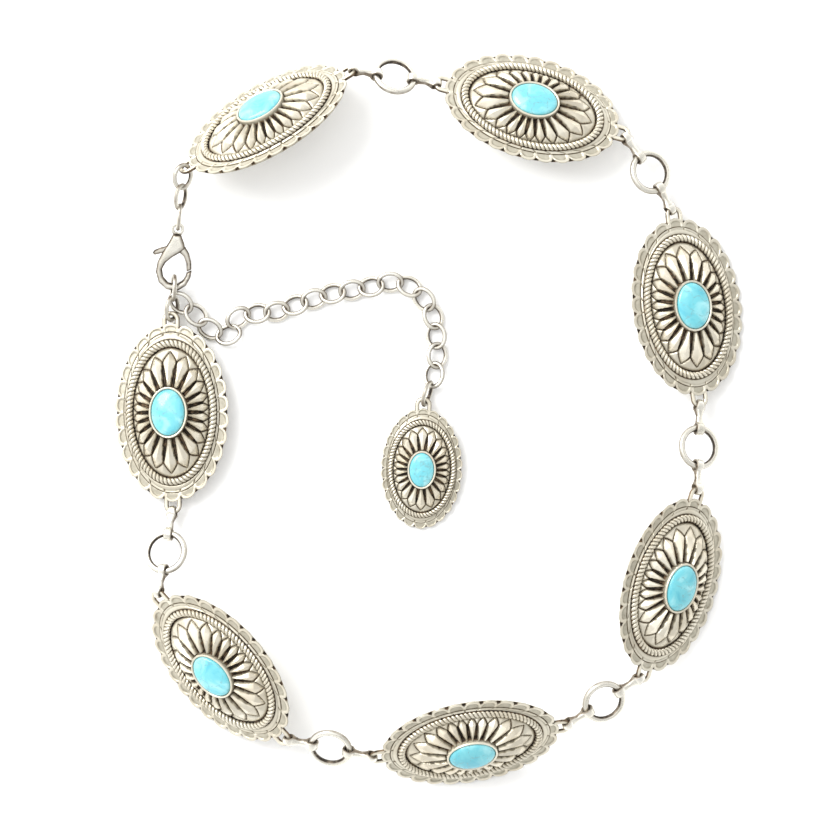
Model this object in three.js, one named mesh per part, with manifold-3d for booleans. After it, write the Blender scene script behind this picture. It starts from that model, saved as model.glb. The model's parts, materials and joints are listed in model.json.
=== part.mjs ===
// A chain belt of oval conchos, lying closed on a table with its faces leaning outwards.
// Each concho is a hollow cast shell: a scalloped rim, a rope ring, a dome of kite-shaped petals and a
// bezel that holds a cabochon. Waisted two-eyed connectors join the conchos' ears to round rings. A
// lobster clasp with a sprung lever closes the loop, and the spare chain ends in a small concho drop.
// Millimetres, +Z up. The origin is under the middle of the belt, on the table.
import * as THREE from "three";
import { mergeVertices } from "three/addons/utils/BufferGeometryUtils.js";
import Module from "manifold-3d";

const wasm = await Module();
wasm.setup();

// Running gap between pieces that touch on the real belt.
const GAP = 0.3;

// The large conchos. Insets run inwards from the rim's edge, at the long ends and at the sides.
const CONCHO = {
  length: 76,
  width: 49.5,
  lobes: 26,
  petals: 22,
  lobeNotch: 1.3,
  rimThickness: 2.0,
  borderInset: { end: 3.9, side: 4.2 },
  ropeInset: { end: 8.6, side: 6.6 },
  ropeWidth: 2.9,
  ropeHeight: 1.9,
  petalTipInset: { end: 13.1, side: 8.7 },
  petalHeight: 1.2,
  domeHeight: 7.6,
  stoneLength: 19.6,
  stoneWidth: 14.4,
  stoneCrown: 1.7,
  bezelWall: 0.8,
  bezelHeight: 10.0,
  seatDepth: 2.2,
  wall: 1.6,
  earRadius: 2.8,
  earWire: 1.7,
  earReach: 1.4,
};

// The small concho that hangs from the end of the spare chain.
const DROP = {
  length: 51.6,
  width: 34.8,
  lobes: 26,
  petals: 22,
  lobeNotch: 0.9,
  rimThickness: 1.7,
  borderInset: { end: 2.6, side: 2.6 },
  ropeInset: { end: 5.9, side: 4.0 },
  ropeWidth: 2.2,
  ropeHeight: 1.4,
  petalTipInset: { end: 8.6, side: 5.5 },
  petalHeight: 0.9,
  domeHeight: 5.2,
  stoneLength: 14.6,
  stoneWidth: 10.4,
  stoneCrown: 1.3,
  bezelWall: 0.6,
  bezelHeight: 6.9,
  seatDepth: 1.8,
  wall: 1.3,
  earRadius: 2.6,
  earWire: 1.5,
  earReach: 1.4,
};

// The round rings halfway between conchos.
const RING = { diameter: 18.4, wire: 2.3 };

// The two-eyed connectors. Each eye is an oval hole: its length runs along the connector.
const CONNECTOR = {
  eyeSpan: 9.3,
  earEye: { length: 4.0, height: 3.4 },
  ringEye: { length: 4.5, height: 4.3 },
  eyeWall: 1.2,
  waistHeight: 3.0,
  earEndWidth: 1.8,
  bulgeWidth: 4.2,
  waistWidth: 2.7,
  ringEndWidth: 3.1,
};

// The oval links of the spare chain and of the short chain above the clasp.
const LINK = { length: 11.6, width: 9.2, wire: 1.6, pitch: 8.3 };
// Neighbouring links bite into each other by this share of the wire, so that a chain is one body.
const LINK_BITE = 0.25;

// The lobster clasp. Its outline below is drawn to this length and width.
const CLASP = {
  length: 29.6,
  width: 15.0,
  thickness: 3.2,
  eyeHole: 1.6,
  eyeWall: 1.3,
  eyeThickness: 1.8,
  leverThickness: 1.3,
  pinRadius: 0.75,
  pinClearance: 0.25,
};

// Where the conchos lie: centre on the table, heading of the long axis on the way clockwise round the
// loop, and how far the face leans outwards. The ring after a concho leans as the mean of the two
// conchos that it joins, and tips this much more.
const PLACES = [
  { name: "a", x: -63.6, y: 124.7, heading: 32.5, lean: 49.0, ringTip: 0 },
  { name: "b", x: 53.8, y: 128.9, heading: -15.3, lean: 25.5, ringTip: 8 },
  { name: "c", x: 117.1, y: 45.7, heading: -82.0, lean: 17.0, ringTip: 0 },
  { name: "d", x: 110.2, y: -73.5, heading: -106.0, lean: 34.0, ringTip: -7 },
  { name: "e", x: 24.4, y: -139.5, heading: -170.8, lean: 43.5, ringTip: 0 },
  { name: "f", x: -80.9, y: -108.4, heading: 131.9, lean: 35.5, ringTip: 0 },
  { name: "g", x: -101.7, y: 0, heading: 90.9, lean: 9.0 },
];
const CLASP_EYE_PLACE = { x: -98.9, y: 78.2 };

// Rolls of the links above the clasp, of the two that reach the last concho's ear, and of the chain's end.
const CLASP_LINK_ROLLS = [30, 62, 95];
const CATCH_LINK_ROLLS = [100, 55];
const END_LINK_ROLL = 72;

// The spare chain's route from the catch link to the drop, chosen by hand. The third number is the
// height over a link that rests on the table.
const CHAIN_ROUTE = [
  [-91.5, 41.5, 1.6],
  [-85.5, 35.5, 0.4],
  [-81.5, 31.0, 0],
  [-77.5, 33.5, 0],
  [-75.0, 39.5, 0],
  [-69.5, 41.8, 0],
  [-58.0, 43.0, 0],
  [-46.0, 47.0, 0],
  [-33.0, 50.8, 0],
  [-18.0, 53.4, 0],
  [-6.4, 55.6, 0],
  [3.0, 51.0, 0],
  [9.1, 41.3, 0],
  [10.6, 31.8, 0],
  [10.9, 23.2, 0],
  [9.4, 14.9, 0.3],
];
const END_LINK_PLACE = { x: 6.2, y: 6.4 };
const CHAIN_START = { x: 0.88, y: -0.36, z: -0.3 };
const DROP_HEADING = -91.5;

const silver = new THREE.MeshStandardMaterial({ color: 0xc9c4b4, roughness: 0.32, metalness: 1.0 });
const turquoise = new THREE.MeshStandardMaterial({ color: 0x62d8e4, roughness: 0.25, metalness: 0.0 });

const UP = new THREE.Vector3(0, 0, 1);
const rad = THREE.MathUtils.degToRad;
const vec = (x, y, z = 0) => new THREE.Vector3(x, y, z);

// Solids

function solidOf(geometry) {
  const bare = geometry.clone();
  bare.deleteAttribute("normal");
  bare.deleteAttribute("uv");
  const merged = mergeVertices(bare, 1e-4);
  return new wasm.Manifold(
    new wasm.Mesh({
      numProp: 3,
      vertProperties: new Float32Array(merged.attributes.position.array),
      triVerts: new Uint32Array(merged.index.array),
    }),
  );
}

function geometryOf(solid) {
  const mesh = solid.getMesh();
  const points = new Float32Array(mesh.numVert * 3);
  for (let i = 0; i < mesh.numVert; i++) {
    points.set(mesh.vertProperties.subarray(i * mesh.numProp, i * mesh.numProp + 3), i * 3);
  }
  const geometry = new THREE.BufferGeometry();
  geometry.setAttribute("position", new THREE.BufferAttribute(points, 3));
  geometry.setIndex(Array.from(mesh.triVerts));
  return geometry;
}

function fuse(geometries) {
  return geometries.map(solidOf).reduce((whole, next) => whole.add(next));
}

// A body wound out of closed loops: a cap on the first, skins between neighbours, a cap on the last.
function loopedBody(loops) {
  const points = loops.flat();
  const starts = loops.map((_, i) => loops.slice(0, i).reduce((sum, loop) => sum + loop.length, 0));
  const turn = (p) => (Math.atan2(p.y, p.x) / (2 * Math.PI) + 1 + 1e-9) % 1;
  const faces = [];
  loops[0].forEach((_, i) => {
    if (i > 1) faces.push(starts[0], starts[0] + i - 1, starts[0] + i);
  });
  for (let k = 0; k + 1 < loops.length; k++) {
    const [inner, outer] = [loops[k], loops[k + 1]];
    const key = (loop, i) => turn(loop[i % loop.length]) + Math.floor(i / loop.length);
    let i = 0;
    let j = 0;
    while (i < inner.length || j < outer.length) {
      const a = starts[k] + (i % inner.length);
      const b = starts[k + 1] + (j % outer.length);
      const innerNext = j >= outer.length || (i < inner.length && key(inner, i + 1) <= key(outer, j + 1));
      if (innerNext) {
        faces.push(a, b, starts[k] + ((i + 1) % inner.length));
        i++;
      } else {
        faces.push(a, b, starts[k + 1] + ((j + 1) % outer.length));
        j++;
      }
    }
  }
  const last = starts[loops.length - 1];
  loops[loops.length - 1].forEach((_, i) => {
    if (i > 1) faces.push(last, last + i, last + i - 1);
  });
  const geometry = new THREE.BufferGeometry().setFromPoints(points);
  geometry.setIndex(faces);
  return geometry;
}

// A round wire along a path in the local XY plane. An open wire has flat ends.
function wireBody(path, wire, sides, closed) {
  const count = path.length;
  const at = (i) => path[(i + count) % count];
  const points = [];
  path.forEach((p, i) => {
    const before = closed || i > 0 ? at(i - 1) : p;
    const after = closed || i < count - 1 ? at(i + 1) : p;
    const along = after.clone().sub(before).normalize();
    const across = vec(along.y, -along.x);
    for (let k = 0; k < sides; k++) {
      const angle = (2 * Math.PI * (k + 0.5)) / sides;
      const out = across.clone().multiplyScalar(Math.cos(angle)).addScaledVector(UP, Math.sin(angle));
      points.push(p.clone().addScaledVector(out, wire / 2));
    }
  });
  const faces = [];
  for (let i = 0; i < (closed ? count : count - 1); i++) {
    for (let k = 0; k < sides; k++) {
      const [a, b] = [i * sides + k, i * sides + ((k + 1) % sides)];
      const [c, d] = [((i + 1) % count) * sides + k, ((i + 1) % count) * sides + ((k + 1) % sides)];
      faces.push(a, b, c, b, d, c);
    }
  }
  if (!closed) {
    const end = (count - 1) * sides;
    for (let k = 2; k < sides; k++) {
      faces.push(0, k, k - 1, end, end + k - 1, end + k);
    }
  }
  const geometry = new THREE.BufferGeometry().setFromPoints(points);
  geometry.setIndex(faces);
  // On a path that runs the other way round every face is inside out.
  if (solidOf(geometry).volume() < 0) {
    const turned = [];
    for (let i = 0; i < faces.length; i += 3) {
      turned.push(faces[i + 2], faces[i + 1], faces[i]);
    }
    geometry.setIndex(turned);
  }
  return geometry;
}

// Conchos

// A loop on an ellipse, its points evenly spaced along it.
function ovalLoop(semi, height, count) {
  const curve = new THREE.EllipseCurve(0, 0, semi.x, semi.y);
  return Array.from({ length: count }, (_, i) => {
    const p = curve.getPointAt(i / count);
    return vec(p.x, p.y, height);
  });
}

// The point of an ellipse at a true polar angle.
function rayPoint(semi, angle, height) {
  const reach = 1 / Math.hypot(Math.cos(angle) / semi.x, Math.sin(angle) / semi.y);
  return vec(reach * Math.cos(angle), reach * Math.sin(angle), height);
}

// The named ellipses and heights of a concho, shared by its shell and its stone.
function conchoForm(spec) {
  const inset = (end, side) => ({ x: spec.length / 2 - end, y: spec.width / 2 - side });
  const rope = spec.ropeInset;
  const halfRope = spec.ropeWidth / 2;
  const stone = { x: spec.stoneLength / 2, y: spec.stoneWidth / 2 };
  const grow = (semi, by) => ({ x: semi.x + by, y: semi.y + by });
  return {
    edge: inset(0, 0),
    notch: inset(spec.lobeNotch, spec.lobeNotch),
    border: inset(spec.borderInset.end, spec.borderInset.side),
    ropeOuter: inset(rope.end - halfRope, rope.side - halfRope),
    ropeTop: inset(rope.end, rope.side),
    ropeInner: inset(rope.end + halfRope, rope.side + halfRope),
    petalTip: inset(spec.petalTipInset.end, spec.petalTipInset.side),
    stone,
    seat: grow(stone, GAP),
    bezel: grow(stone, GAP + spec.bezelWall),
    seatHeight: spec.bezelHeight - spec.seatDepth,
    grooveHeight: spec.rimThickness + 0.5,
  };
}

// Height of the dome, from the bezel (share 0) to the groove inside the rope (share 1).
const DOME_FULLNESS = 1.7;
function domeHeight(spec, form, share) {
  return form.grooveHeight + (spec.domeHeight - form.grooveHeight) * (1 - share ** DOME_FULLNESS);
}

// How far out along a petal its shoulder lies, and where the notch between two shoulders lies.
const PETAL_SHOULDER = 0.72;
const PETAL_NOTCH = 0.8;

function petalLoop(spec, form, ridge, valley) {
  const step = Math.PI / spec.petals;
  return Array.from({ length: 2 * spec.petals }, (_, i) => {
    const { share, lift } = i % 2 ? valley : ridge;
    const inner = rayPoint(form.bezel, i * step, 0);
    const outer = rayPoint(form.petalTip, i * step, 0);
    const p = inner.lerp(outer, share);
    const groove = rayPoint(form.ropeInner, i * step, 0).length();
    const start = rayPoint(form.bezel, i * step, 0).length();
    p.z = domeHeight(spec, form, (p.length() - start) / (groove - start)) + lift;
    return p;
  });
}

function lobeLoop(spec, form, height) {
  const edge = new THREE.EllipseCurve(0, 0, form.edge.x, form.edge.y);
  const notch = new THREE.EllipseCurve(0, 0, form.notch.x, form.notch.y);
  const shoulders = [0.24, 0.5, 0.76];
  return Array.from({ length: 3 * spec.lobes }, (_, i) => {
    const share = (Math.floor(i / 3) + shoulders[i % 3]) / spec.lobes;
    const p = (i % 3 === 1 ? notch : edge).getPointAt(share);
    return vec(p.x, p.y, height);
  });
}

// Sides of the plain ellipses in a concho and in its stone.
const OVAL_SIDES = 22;
const BEZEL_SIDES = 14;
const CROWN_SIDES = 10;

function conchoShell(spec) {
  const form = conchoForm(spec);
  const ropeTopHeight = form.grooveHeight + spec.ropeHeight;
  const loops = [
    ovalLoop(form.seat, form.seatHeight, BEZEL_SIDES),
    ovalLoop(form.seat, spec.bezelHeight, BEZEL_SIDES),
    ovalLoop(form.bezel, spec.bezelHeight, BEZEL_SIDES),
    ovalLoop(form.bezel, spec.domeHeight, BEZEL_SIDES),
    petalLoop(
      spec, form,
      { share: PETAL_SHOULDER, lift: spec.petalHeight },
      { share: PETAL_SHOULDER, lift: 0 },
    ),
    petalLoop(spec, form, { share: 1, lift: 0 }, { share: PETAL_NOTCH, lift: 0 }),
    ovalLoop(form.ropeInner, form.grooveHeight, OVAL_SIDES),
    ovalLoop(form.ropeTop, ropeTopHeight, OVAL_SIDES),
    ovalLoop(form.ropeOuter, form.grooveHeight, OVAL_SIDES),
    ovalLoop(form.border, spec.rimThickness, OVAL_SIDES),
    lobeLoop(spec, form, spec.rimThickness),
    ovalLoop(form.notch, 0, OVAL_SIDES),
    ovalLoop(form.ropeInner, 0, OVAL_SIDES),
    hollowLoop(spec, form, 0.5, BEZEL_SIDES),
    ovalLoop(form.seat, form.seatHeight - spec.wall, CROWN_SIDES),
  ];
  return loopedBody(loops);
}

// A loop of the hollow back, one wall under the dome.
function hollowLoop(spec, form, share, count) {
  const semi = {
    x: THREE.MathUtils.lerp(form.bezel.x, form.ropeInner.x, share),
    y: THREE.MathUtils.lerp(form.bezel.y, form.ropeInner.y, share),
  };
  return ovalLoop(semi, domeHeight(spec, form, share) - spec.wall, count);
}

// The half-round wire loop at one end of a concho, its legs run into the rim.
const EAR_STEPS = 5;
function earBody(spec) {
  const hub = spec.length / 2 + spec.earReach;
  const root = spec.length / 2 - spec.borderInset.end;
  const path = [vec(root, -spec.earRadius, spec.rimThickness / 2)];
  for (let i = 0; i <= EAR_STEPS; i++) {
    const angle = -Math.PI / 2 + (Math.PI * i) / EAR_STEPS;
    path.push(
      vec(hub + spec.earRadius * Math.cos(angle), spec.earRadius * Math.sin(angle), spec.rimThickness / 2),
    );
  }
  path.push(vec(root, spec.earRadius, spec.rimThickness / 2));
  return wireBody(path, spec.earWire, 6, false);
}

function conchoGeometry(spec, ends) {
  const ears = ends.map((side) => earBody(spec).rotateZ(side > 0 ? 0 : Math.PI));
  return geometryOf(fuse([conchoShell(spec), ...ears]));
}

function stoneGeometry(spec) {
  const form = conchoForm(spec);
  const scaled = (share) => ({ x: form.stone.x * share, y: form.stone.y * share });
  return loopedBody([
    ovalLoop(scaled(0.4), spec.bezelHeight + spec.stoneCrown, 8),
    ovalLoop(scaled(0.78), spec.bezelHeight + spec.stoneCrown * 0.66, CROWN_SIDES),
    ovalLoop(scaled(1), spec.bezelHeight - GAP, BEZEL_SIDES),
    ovalLoop(scaled(1), form.seatHeight + GAP, BEZEL_SIDES),
  ]);
}

// Rings, connectors and links

const ringRadius = (RING.diameter - RING.wire) / 2;

function ringGeometry() {
  return new THREE.TorusGeometry(ringRadius, RING.wire / 2, 6, 14);
}

// The wire in each eye hangs near the eye's end. Both wires are curved, so they need more than a gap.
const EAR_SLACK = 0.85;
const RING_SLACK = 0.85;
const earOffset = CONNECTOR.earEye.length / 2 - CONCHO.earWire / 2 - EAR_SLACK;
const ringOffset = CONNECTOR.ringEye.length / 2 - RING.wire / 2 - RING_SLACK;
const connectorReach = CONNECTOR.eyeSpan + earOffset + ringOffset;

// Points on an oval from one angle to another.
function ovalArc(x, along, up, from, to, steps) {
  return Array.from({ length: steps + 1 }, (_, i) => {
    const angle = from + ((to - from) * i) / steps;
    return new THREE.Vector2(x + along * Math.cos(angle), up * Math.sin(angle));
  });
}

// A figure of eight seen from the side, swelling and waisted seen from above.
function connectorGeometry() {
  const { earEye, ringEye, eyeWall, eyeSpan } = CONNECTOR;
  const half = eyeSpan / 2;
  const shoulder = rad(60);
  const outer = (eye) => [eye.length / 2 + eyeWall, eye.height / 2 + eyeWall];
  const outline = [
    ...ovalArc(half, ...outer(ringEye), -Math.PI + shoulder, Math.PI - shoulder, 6),
    new THREE.Vector2(0, CONNECTOR.waistHeight / 2),
    ...ovalArc(-half, ...outer(earEye), shoulder, 2 * Math.PI - shoulder, 6),
    new THREE.Vector2(0, -CONNECTOR.waistHeight / 2),
  ];
  const shape = new THREE.Shape(outline);
  const hole = (x, eye) =>
    new THREE.Path(ovalArc(x, eye.length / 2, eye.height / 2, 0, -2 * Math.PI, 8).slice(0, 8));
  shape.holes.push(hole(half, ringEye), hole(-half, earEye));
  const geometry = new THREE.ExtrudeGeometry(shape, { depth: 1, bevelEnabled: false, curveSegments: 1 });
  // Width along the connector, from the ear's end to the ring's end.
  const stations = [
    [-half - earEye.length / 2 - eyeWall, CONNECTOR.earEndWidth],
    [-half - earEye.length / 2 + CONCHO.earWire, CONNECTOR.earEndWidth],
    [-half + earEye.length / 2 + eyeWall * 0.4, CONNECTOR.bulgeWidth],
    [0, CONNECTOR.waistWidth],
    [half, CONNECTOR.ringEndWidth],
    [half + ringEye.length, CONNECTOR.ringEndWidth],
  ];
  const widthAt = (x) => {
    const next = Math.max(1, stations.findIndex(([at]) => at >= x));
    const [[x0, w0], [x1, w1]] = [stations[next - 1], stations[next]];
    return w0 + ((w1 - w0) * (x - x0)) / (x1 - x0);
  };
  const p = geometry.attributes.position;
  for (let i = 0; i < p.count; i++) {
    p.setZ(i, (p.getZ(i) - 0.5) * widthAt(p.getX(i)));
  }
  return geometry;
}

const linkSemi = { x: (LINK.length - LINK.wire) / 2, y: (LINK.width - LINK.wire) / 2 };
const LINK_STEPS = 10;

// A link's ends are flat facets, stretched out to its full length.
function linkGeometry() {
  const curve = new THREE.EllipseCurve(0, 0, linkSemi.x, linkSemi.y);
  const path = Array.from({ length: LINK_STEPS }, (_, i) => {
    const p = curve.getPointAt((i + 0.5) / LINK_STEPS);
    return vec(p.x, p.y);
  });
  const stretch = linkSemi.x / Math.max(...path.map((p) => p.x));
  path.forEach((p) => p.setX(p.x * stretch));
  return wireBody(path, LINK.wire, 5, true);
}

// Lying links roll to and fro, just far enough for their wires to cross over and under each other.
const crossing = linkSemi.y * Math.sqrt(1 - (LINK.pitch / 2 / linkSemi.x) ** 2);
const lyingRoll = Math.asin(((1 - LINK_BITE) * LINK.wire) / (2 * crossing));
// How high a link's middle is when it rests on the table, rolled by an angle in radians.
const restHeight = (roll) => linkSemi.y * Math.sin(roll) + LINK.wire / 2 + GAP;
// Links that hang straight between two ears lie this far apart.
const tautPitch = 2 * linkSemi.x - (1 - LINK_BITE) * LINK.wire;

// How far inside the end of a link a bar of this thickness fits, the link's wire clear of its corners.
const FACET_SLACK = 0.35;
function barDepth(thickness) {
  const width = (thickness / 2 + GAP + FACET_SLACK) / (linkSemi.y - LINK.wire / 2);
  return (linkSemi.x - LINK.wire / 2) * (1 - Math.sqrt(1 - width ** 2));
}

// Frames

// A frame with local X along a direction, turned about it from level by an angle in radians.
function frameAlong(origin, along, roll) {
  const x = along.clone().normalize();
  const level = UP.clone().cross(x).normalize();
  const lift = x.clone().cross(level);
  const y = level.multiplyScalar(Math.cos(roll)).addScaledVector(lift, -Math.sin(roll));
  const z = x.clone().cross(y);
  return new THREE.Matrix4().makeBasis(x, y, z).setPosition(origin);
}

const axis = (frame, index) => new THREE.Vector3().setFromMatrixColumn(frame, index);

function pieceIn(group, name, geometry, material, frame) {
  const mesh = new THREE.Mesh(geometry, material);
  mesh.name = name;
  frame.decompose(mesh.position, mesh.quaternion, mesh.scale);
  group.add(mesh);
  return mesh;
}

// The loop on the table

// An ear's height over the table, when the lower edge of the concho's rim rests on it.
const footLoop = ovalLoop(conchoForm(CONCHO).notch, 0, OVAL_SIDES);
const footReach = Math.max(...footLoop.map((p) => p.y));
function earHeight(place) {
  const lean = rad(place.lean);
  return footReach * Math.sin(lean) + (CONCHO.rimThickness / 2) * Math.cos(lean);
}

// A concho's frame between two corners: local X along it, local Y outwards and down, local Z out of its
// face.
function conchoFrame(place, start, end) {
  const frame = frameAlong(vec(0, 0), end.clone().sub(start), rad(place.lean));
  const middle = start.clone().add(end).divideScalar(2).setZ(earHeight(place));
  return frame.setPosition(middle.addScaledVector(axis(frame, 2), -CONCHO.rimThickness / 2));
}

function hubOf(frame, spec, side) {
  const local = vec(side * (spec.length / 2 + spec.earReach), 0, spec.rimThickness / 2);
  return local.applyMatrix4(frame);
}

// From an ear's hub to a target that is a reach away from the ear's wire, which faces it.
function runFrom(frame, side, target, reach) {
  const away = target.clone().sub(hubOf(frame, CONCHO, side)).normalize();
  const rise = away.dot(axis(frame, 2));
  const across = CONCHO.earRadius * Math.sqrt(1 - rise ** 2);
  return across + Math.sqrt(reach ** 2 - (CONCHO.earRadius * rise) ** 2);
}

const earSpan = CONCHO.length + 2 * CONCHO.earReach;
// A link that crosses a slanted ear needs this much between the wires.
const LINK_EAR_SLACK = 1.2;
const linkGrip = LINK.wire / 2 + LINK_EAR_SLACK + CONCHO.earWire / 2;
// From an ear's wire to the clasp's eye, and from the eye to the other ear's wire.
const eyeSeat = CLASP.eyeHole - barDepth(CLASP.eyeThickness) - LINK.wire / 2;
const eyeReach = 2 * linkSemi.x + 2 * tautPitch - linkGrip + eyeSeat;
const HOOK_FLOOR = 0.8;
const HOOK_PLAY = 0.8;
const hookSeat = HOOK_FLOOR * CLASP.length - barDepth(CLASP.thickness) - LINK.wire / 2 - HOOK_PLAY;
const catchReach = hookSeat + 2 * linkSemi.x + tautPitch - linkGrip;
const ringReach = connectorReach + ringRadius;

// The loop's corners seen from above: both ears of each concho, and after them the middle of the ring or
// the clasp's eye. They start at the chosen places and are pulled to their true distances.
function settleLoop() {
  const turned = (angle) => vec(Math.cos(rad(angle)), Math.sin(rad(angle))).multiplyScalar(earSpan / 2);
  const nominal = PLACES.map((place) => {
    const centre = vec(place.x, place.y);
    const ends = [centre.clone().sub(turned(place.heading)), centre.clone().add(turned(place.heading))];
    return { ends, frame: conchoFrame(place, ...ends), height: earHeight(place) };
  });
  const corners = [];
  const spans = [];
  nominal.forEach((here, i) => {
    const next = nominal[(i + 1) % nominal.length];
    const isLast = i === nominal.length - 1;
    const reaches = isLast ? [catchReach, eyeReach] : [ringReach, ringReach];
    const share = reaches[0] / (reaches[0] + reaches[1]);
    const middle = here.ends[1].clone().lerp(next.ends[0], share);
    if (isLast) middle.set(CLASP_EYE_PLACE.x, CLASP_EYE_PLACE.y, 0);
    middle.z = THREE.MathUtils.lerp(here.height, next.height, share);
    const runs = [runFrom(here.frame, 1, middle, reaches[0]), runFrom(next.frame, -1, middle, reaches[1])];
    corners.push(...here.ends, middle.clone().setZ(0));
    spans.push(earSpan, Math.sqrt(runs[0] ** 2 - (middle.z - here.height) ** 2));
    spans.push(Math.sqrt(runs[1] ** 2 - (middle.z - next.height) ** 2));
  });
  const RELAX_ROUNDS = 4000;
  for (let round = 0; round < RELAX_ROUNDS; round++) {
    corners.forEach((a, i) => {
      const b = corners[(i + 1) % corners.length];
      const error = (a.distanceTo(b) - spans[i]) / 2;
      const pull = b.clone().sub(a).normalize().multiplyScalar(error);
      a.add(pull);
      b.sub(pull);
    });
  }
  return corners;
}

const corners = settleLoop();
const belt = new THREE.Group();
const CORNERS_PER_PLACE = 3;

const conchoFrames = PLACES.map((place, i) => {
  return conchoFrame(place, corners[CORNERS_PER_PLACE * i], corners[CORNERS_PER_PLACE * i + 1]);
});

const conchoShape = conchoGeometry(CONCHO, [-1, 1]);
const conchoStone = stoneGeometry(CONCHO);
PLACES.forEach((place, i) => {
  pieceIn(belt, `concho_${place.name}`, conchoShape, silver, conchoFrames[i]);
  pieceIn(belt, `stone_${place.name}`, conchoStone, turquoise, conchoFrames[i]);
});

// The point of a round wire that faces a target, and the wire's direction there.
function gripOn(hub, face, radius, target) {
  const outward = target.clone().sub(hub);
  outward.addScaledVector(face, -outward.dot(face)).normalize();
  return { point: hub.clone().addScaledVector(outward, radius), wire: face.clone().cross(outward) };
}

function earGrip(frame, spec, side, target) {
  return gripOn(hubOf(frame, spec, side), axis(frame, 2), spec.earRadius, target);
}

// A connector from an ear's wire to a ring's wire, square to the mean of the two.
function connectorFrame(ear, ring) {
  const along = ring.point.clone().sub(ear.point);
  const slack = (along.length() - connectorReach) / 2;
  const x = along.normalize();
  const z = ear.wire.clone().multiplyScalar(Math.sign(ear.wire.dot(ring.wire))).add(ring.wire);
  z.addScaledVector(x, -z.dot(x)).normalize();
  const y = z.clone().cross(x);
  const middle = ear.point.clone().addScaledVector(x, slack + earOffset + CONNECTOR.eyeSpan / 2);
  return new THREE.Matrix4().makeBasis(x, y, z).setPosition(middle);
}

// A ring's frame between two ears, its face halfway between the faces of their conchos.
function ringFrame(middle, hubs, before, after, tip) {
  const x = hubs[1].clone().sub(hubs[0]).normalize();
  const z = axis(before, 2).add(axis(after, 2));
  z.addScaledVector(x, -z.dot(x)).normalize().applyAxisAngle(x, -tip);
  return new THREE.Matrix4().makeBasis(x, z.clone().cross(x), z).setPosition(middle);
}

const ringShape = ringGeometry();
const connectorShape = connectorGeometry();
PLACES.slice(0, -1).forEach((place, i) => {
  const joint = place.name + PLACES[i + 1].name;
  const middle = corners[CORNERS_PER_PLACE * i + 2].clone();
  const hubs = [hubOf(conchoFrames[i], CONCHO, 1), hubOf(conchoFrames[i + 1], CONCHO, -1)];
  middle.z = (hubs[0].z + hubs[1].z) / 2;
  const frame = ringFrame(middle, hubs, conchoFrames[i], conchoFrames[i + 1], rad(place.ringTip));
  pieceIn(belt, `ring_${joint}`, ringShape, silver, frame);
  hubs.forEach((hub, end) => {
    const ear = earGrip(conchoFrames[i + end], CONCHO, end ? -1 : 1, middle);
    const ring = gripOn(middle, axis(frame, 2), ringRadius, hub);
    pieceIn(belt, `connector_${joint}_${end + 1}`, connectorShape, silver, connectorFrame(ear, ring));
  });
});

// The clasp, drawn flat with its eye at the origin and its hook towards -Y

// Shares of the clasp's length below the eye's centre and of its width.
const claspPoint = ([x, y]) => new THREE.Vector2(x * CLASP.width, y * CLASP.length);
const HOOK_OUTLINE = [
  [0.1, -0.085],
  [0.2, -0.2],
  [0.24, -0.27],
  [0.1, -0.34],
  [-0.1, -0.41],
  [-0.28, -0.5],
  [-0.37, -0.6],
  [-0.32, -0.71],
  [-0.17, -0.79],
  [0.08, -0.805],
  [0.25, -0.74],
  [0.325, -0.67],
  [0.335, -0.627],
  [0.47, -0.585],
  [0.45, -0.69],
  [0.34, -0.81],
  [0.12, -0.893],
  [-0.2, -0.885],
  [-0.43, -0.79],
  [-0.53, -0.64],
  [-0.5, -0.5],
  [-0.38, -0.35],
  [-0.22, -0.2],
  [-0.12, -0.085],
];
const LEVER_OUTLINE = [
  [0.06, -0.215],
  [0.24, -0.25],
  [0.36, -0.34],
  [0.44, -0.47],
  [0.46, -0.572],
  [0.34, -0.605],
  [0.31, -0.48],
  [0.23, -0.39],
  [0.08, -0.33],
  [-0.1, -0.325],
  [-0.4, -0.365],
  [-0.6, -0.4],
  [-0.66, -0.375],
  [-0.62, -0.335],
  [-0.42, -0.285],
  [-0.12, -0.235],
];
const PIVOT = claspPoint([0.02, -0.275]);

function plate(outline, thickness) {
  const geometry = new THREE.ExtrudeGeometry(new THREE.Shape(outline.map(claspPoint)), {
    depth: thickness,
    bevelEnabled: false,
  });
  return geometry.translate(0, 0, -thickness / 2);
}

function disc(radius, thickness, sides, centre) {
  const geometry = new THREE.CylinderGeometry(radius, radius, thickness, sides).rotateX(Math.PI / 2);
  return geometry.translate(centre.x, centre.y, 0);
}

const EYE_SIDES = 12;
const PIN_SIDES = 10;
const centre = new THREE.Vector2(0, 0);

// The slot lets the lever through from side to side, between two cheeks.
function claspBody() {
  const eye = disc(CLASP.eyeHole + CLASP.eyeWall, CLASP.eyeThickness, EYE_SIDES, centre);
  const slotHeight = CLASP.leverThickness + 2 * GAP;
  const slot = new THREE.BoxGeometry(2 * CLASP.width, CLASP.length * 0.29, slotHeight);
  slot.translate(0, -CLASP.length * 0.31, 0);
  return geometryOf(
    fuse([plate(HOOK_OUTLINE, CLASP.thickness), eye])
      .subtract(solidOf(disc(CLASP.eyeHole, 2 * CLASP.thickness, EYE_SIDES, centre)))
      .subtract(solidOf(slot))
      .add(solidOf(disc(CLASP.pinRadius, CLASP.thickness * 0.95, PIN_SIDES, PIVOT))),
  );
}

function claspLever() {
  const bore = disc(CLASP.pinRadius + CLASP.pinClearance, CLASP.thickness, PIN_SIDES, PIVOT);
  return geometryOf(solidOf(plate(LEVER_OUTLINE, CLASP.leverThickness)).subtract(solidOf(bore)));
}

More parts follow.
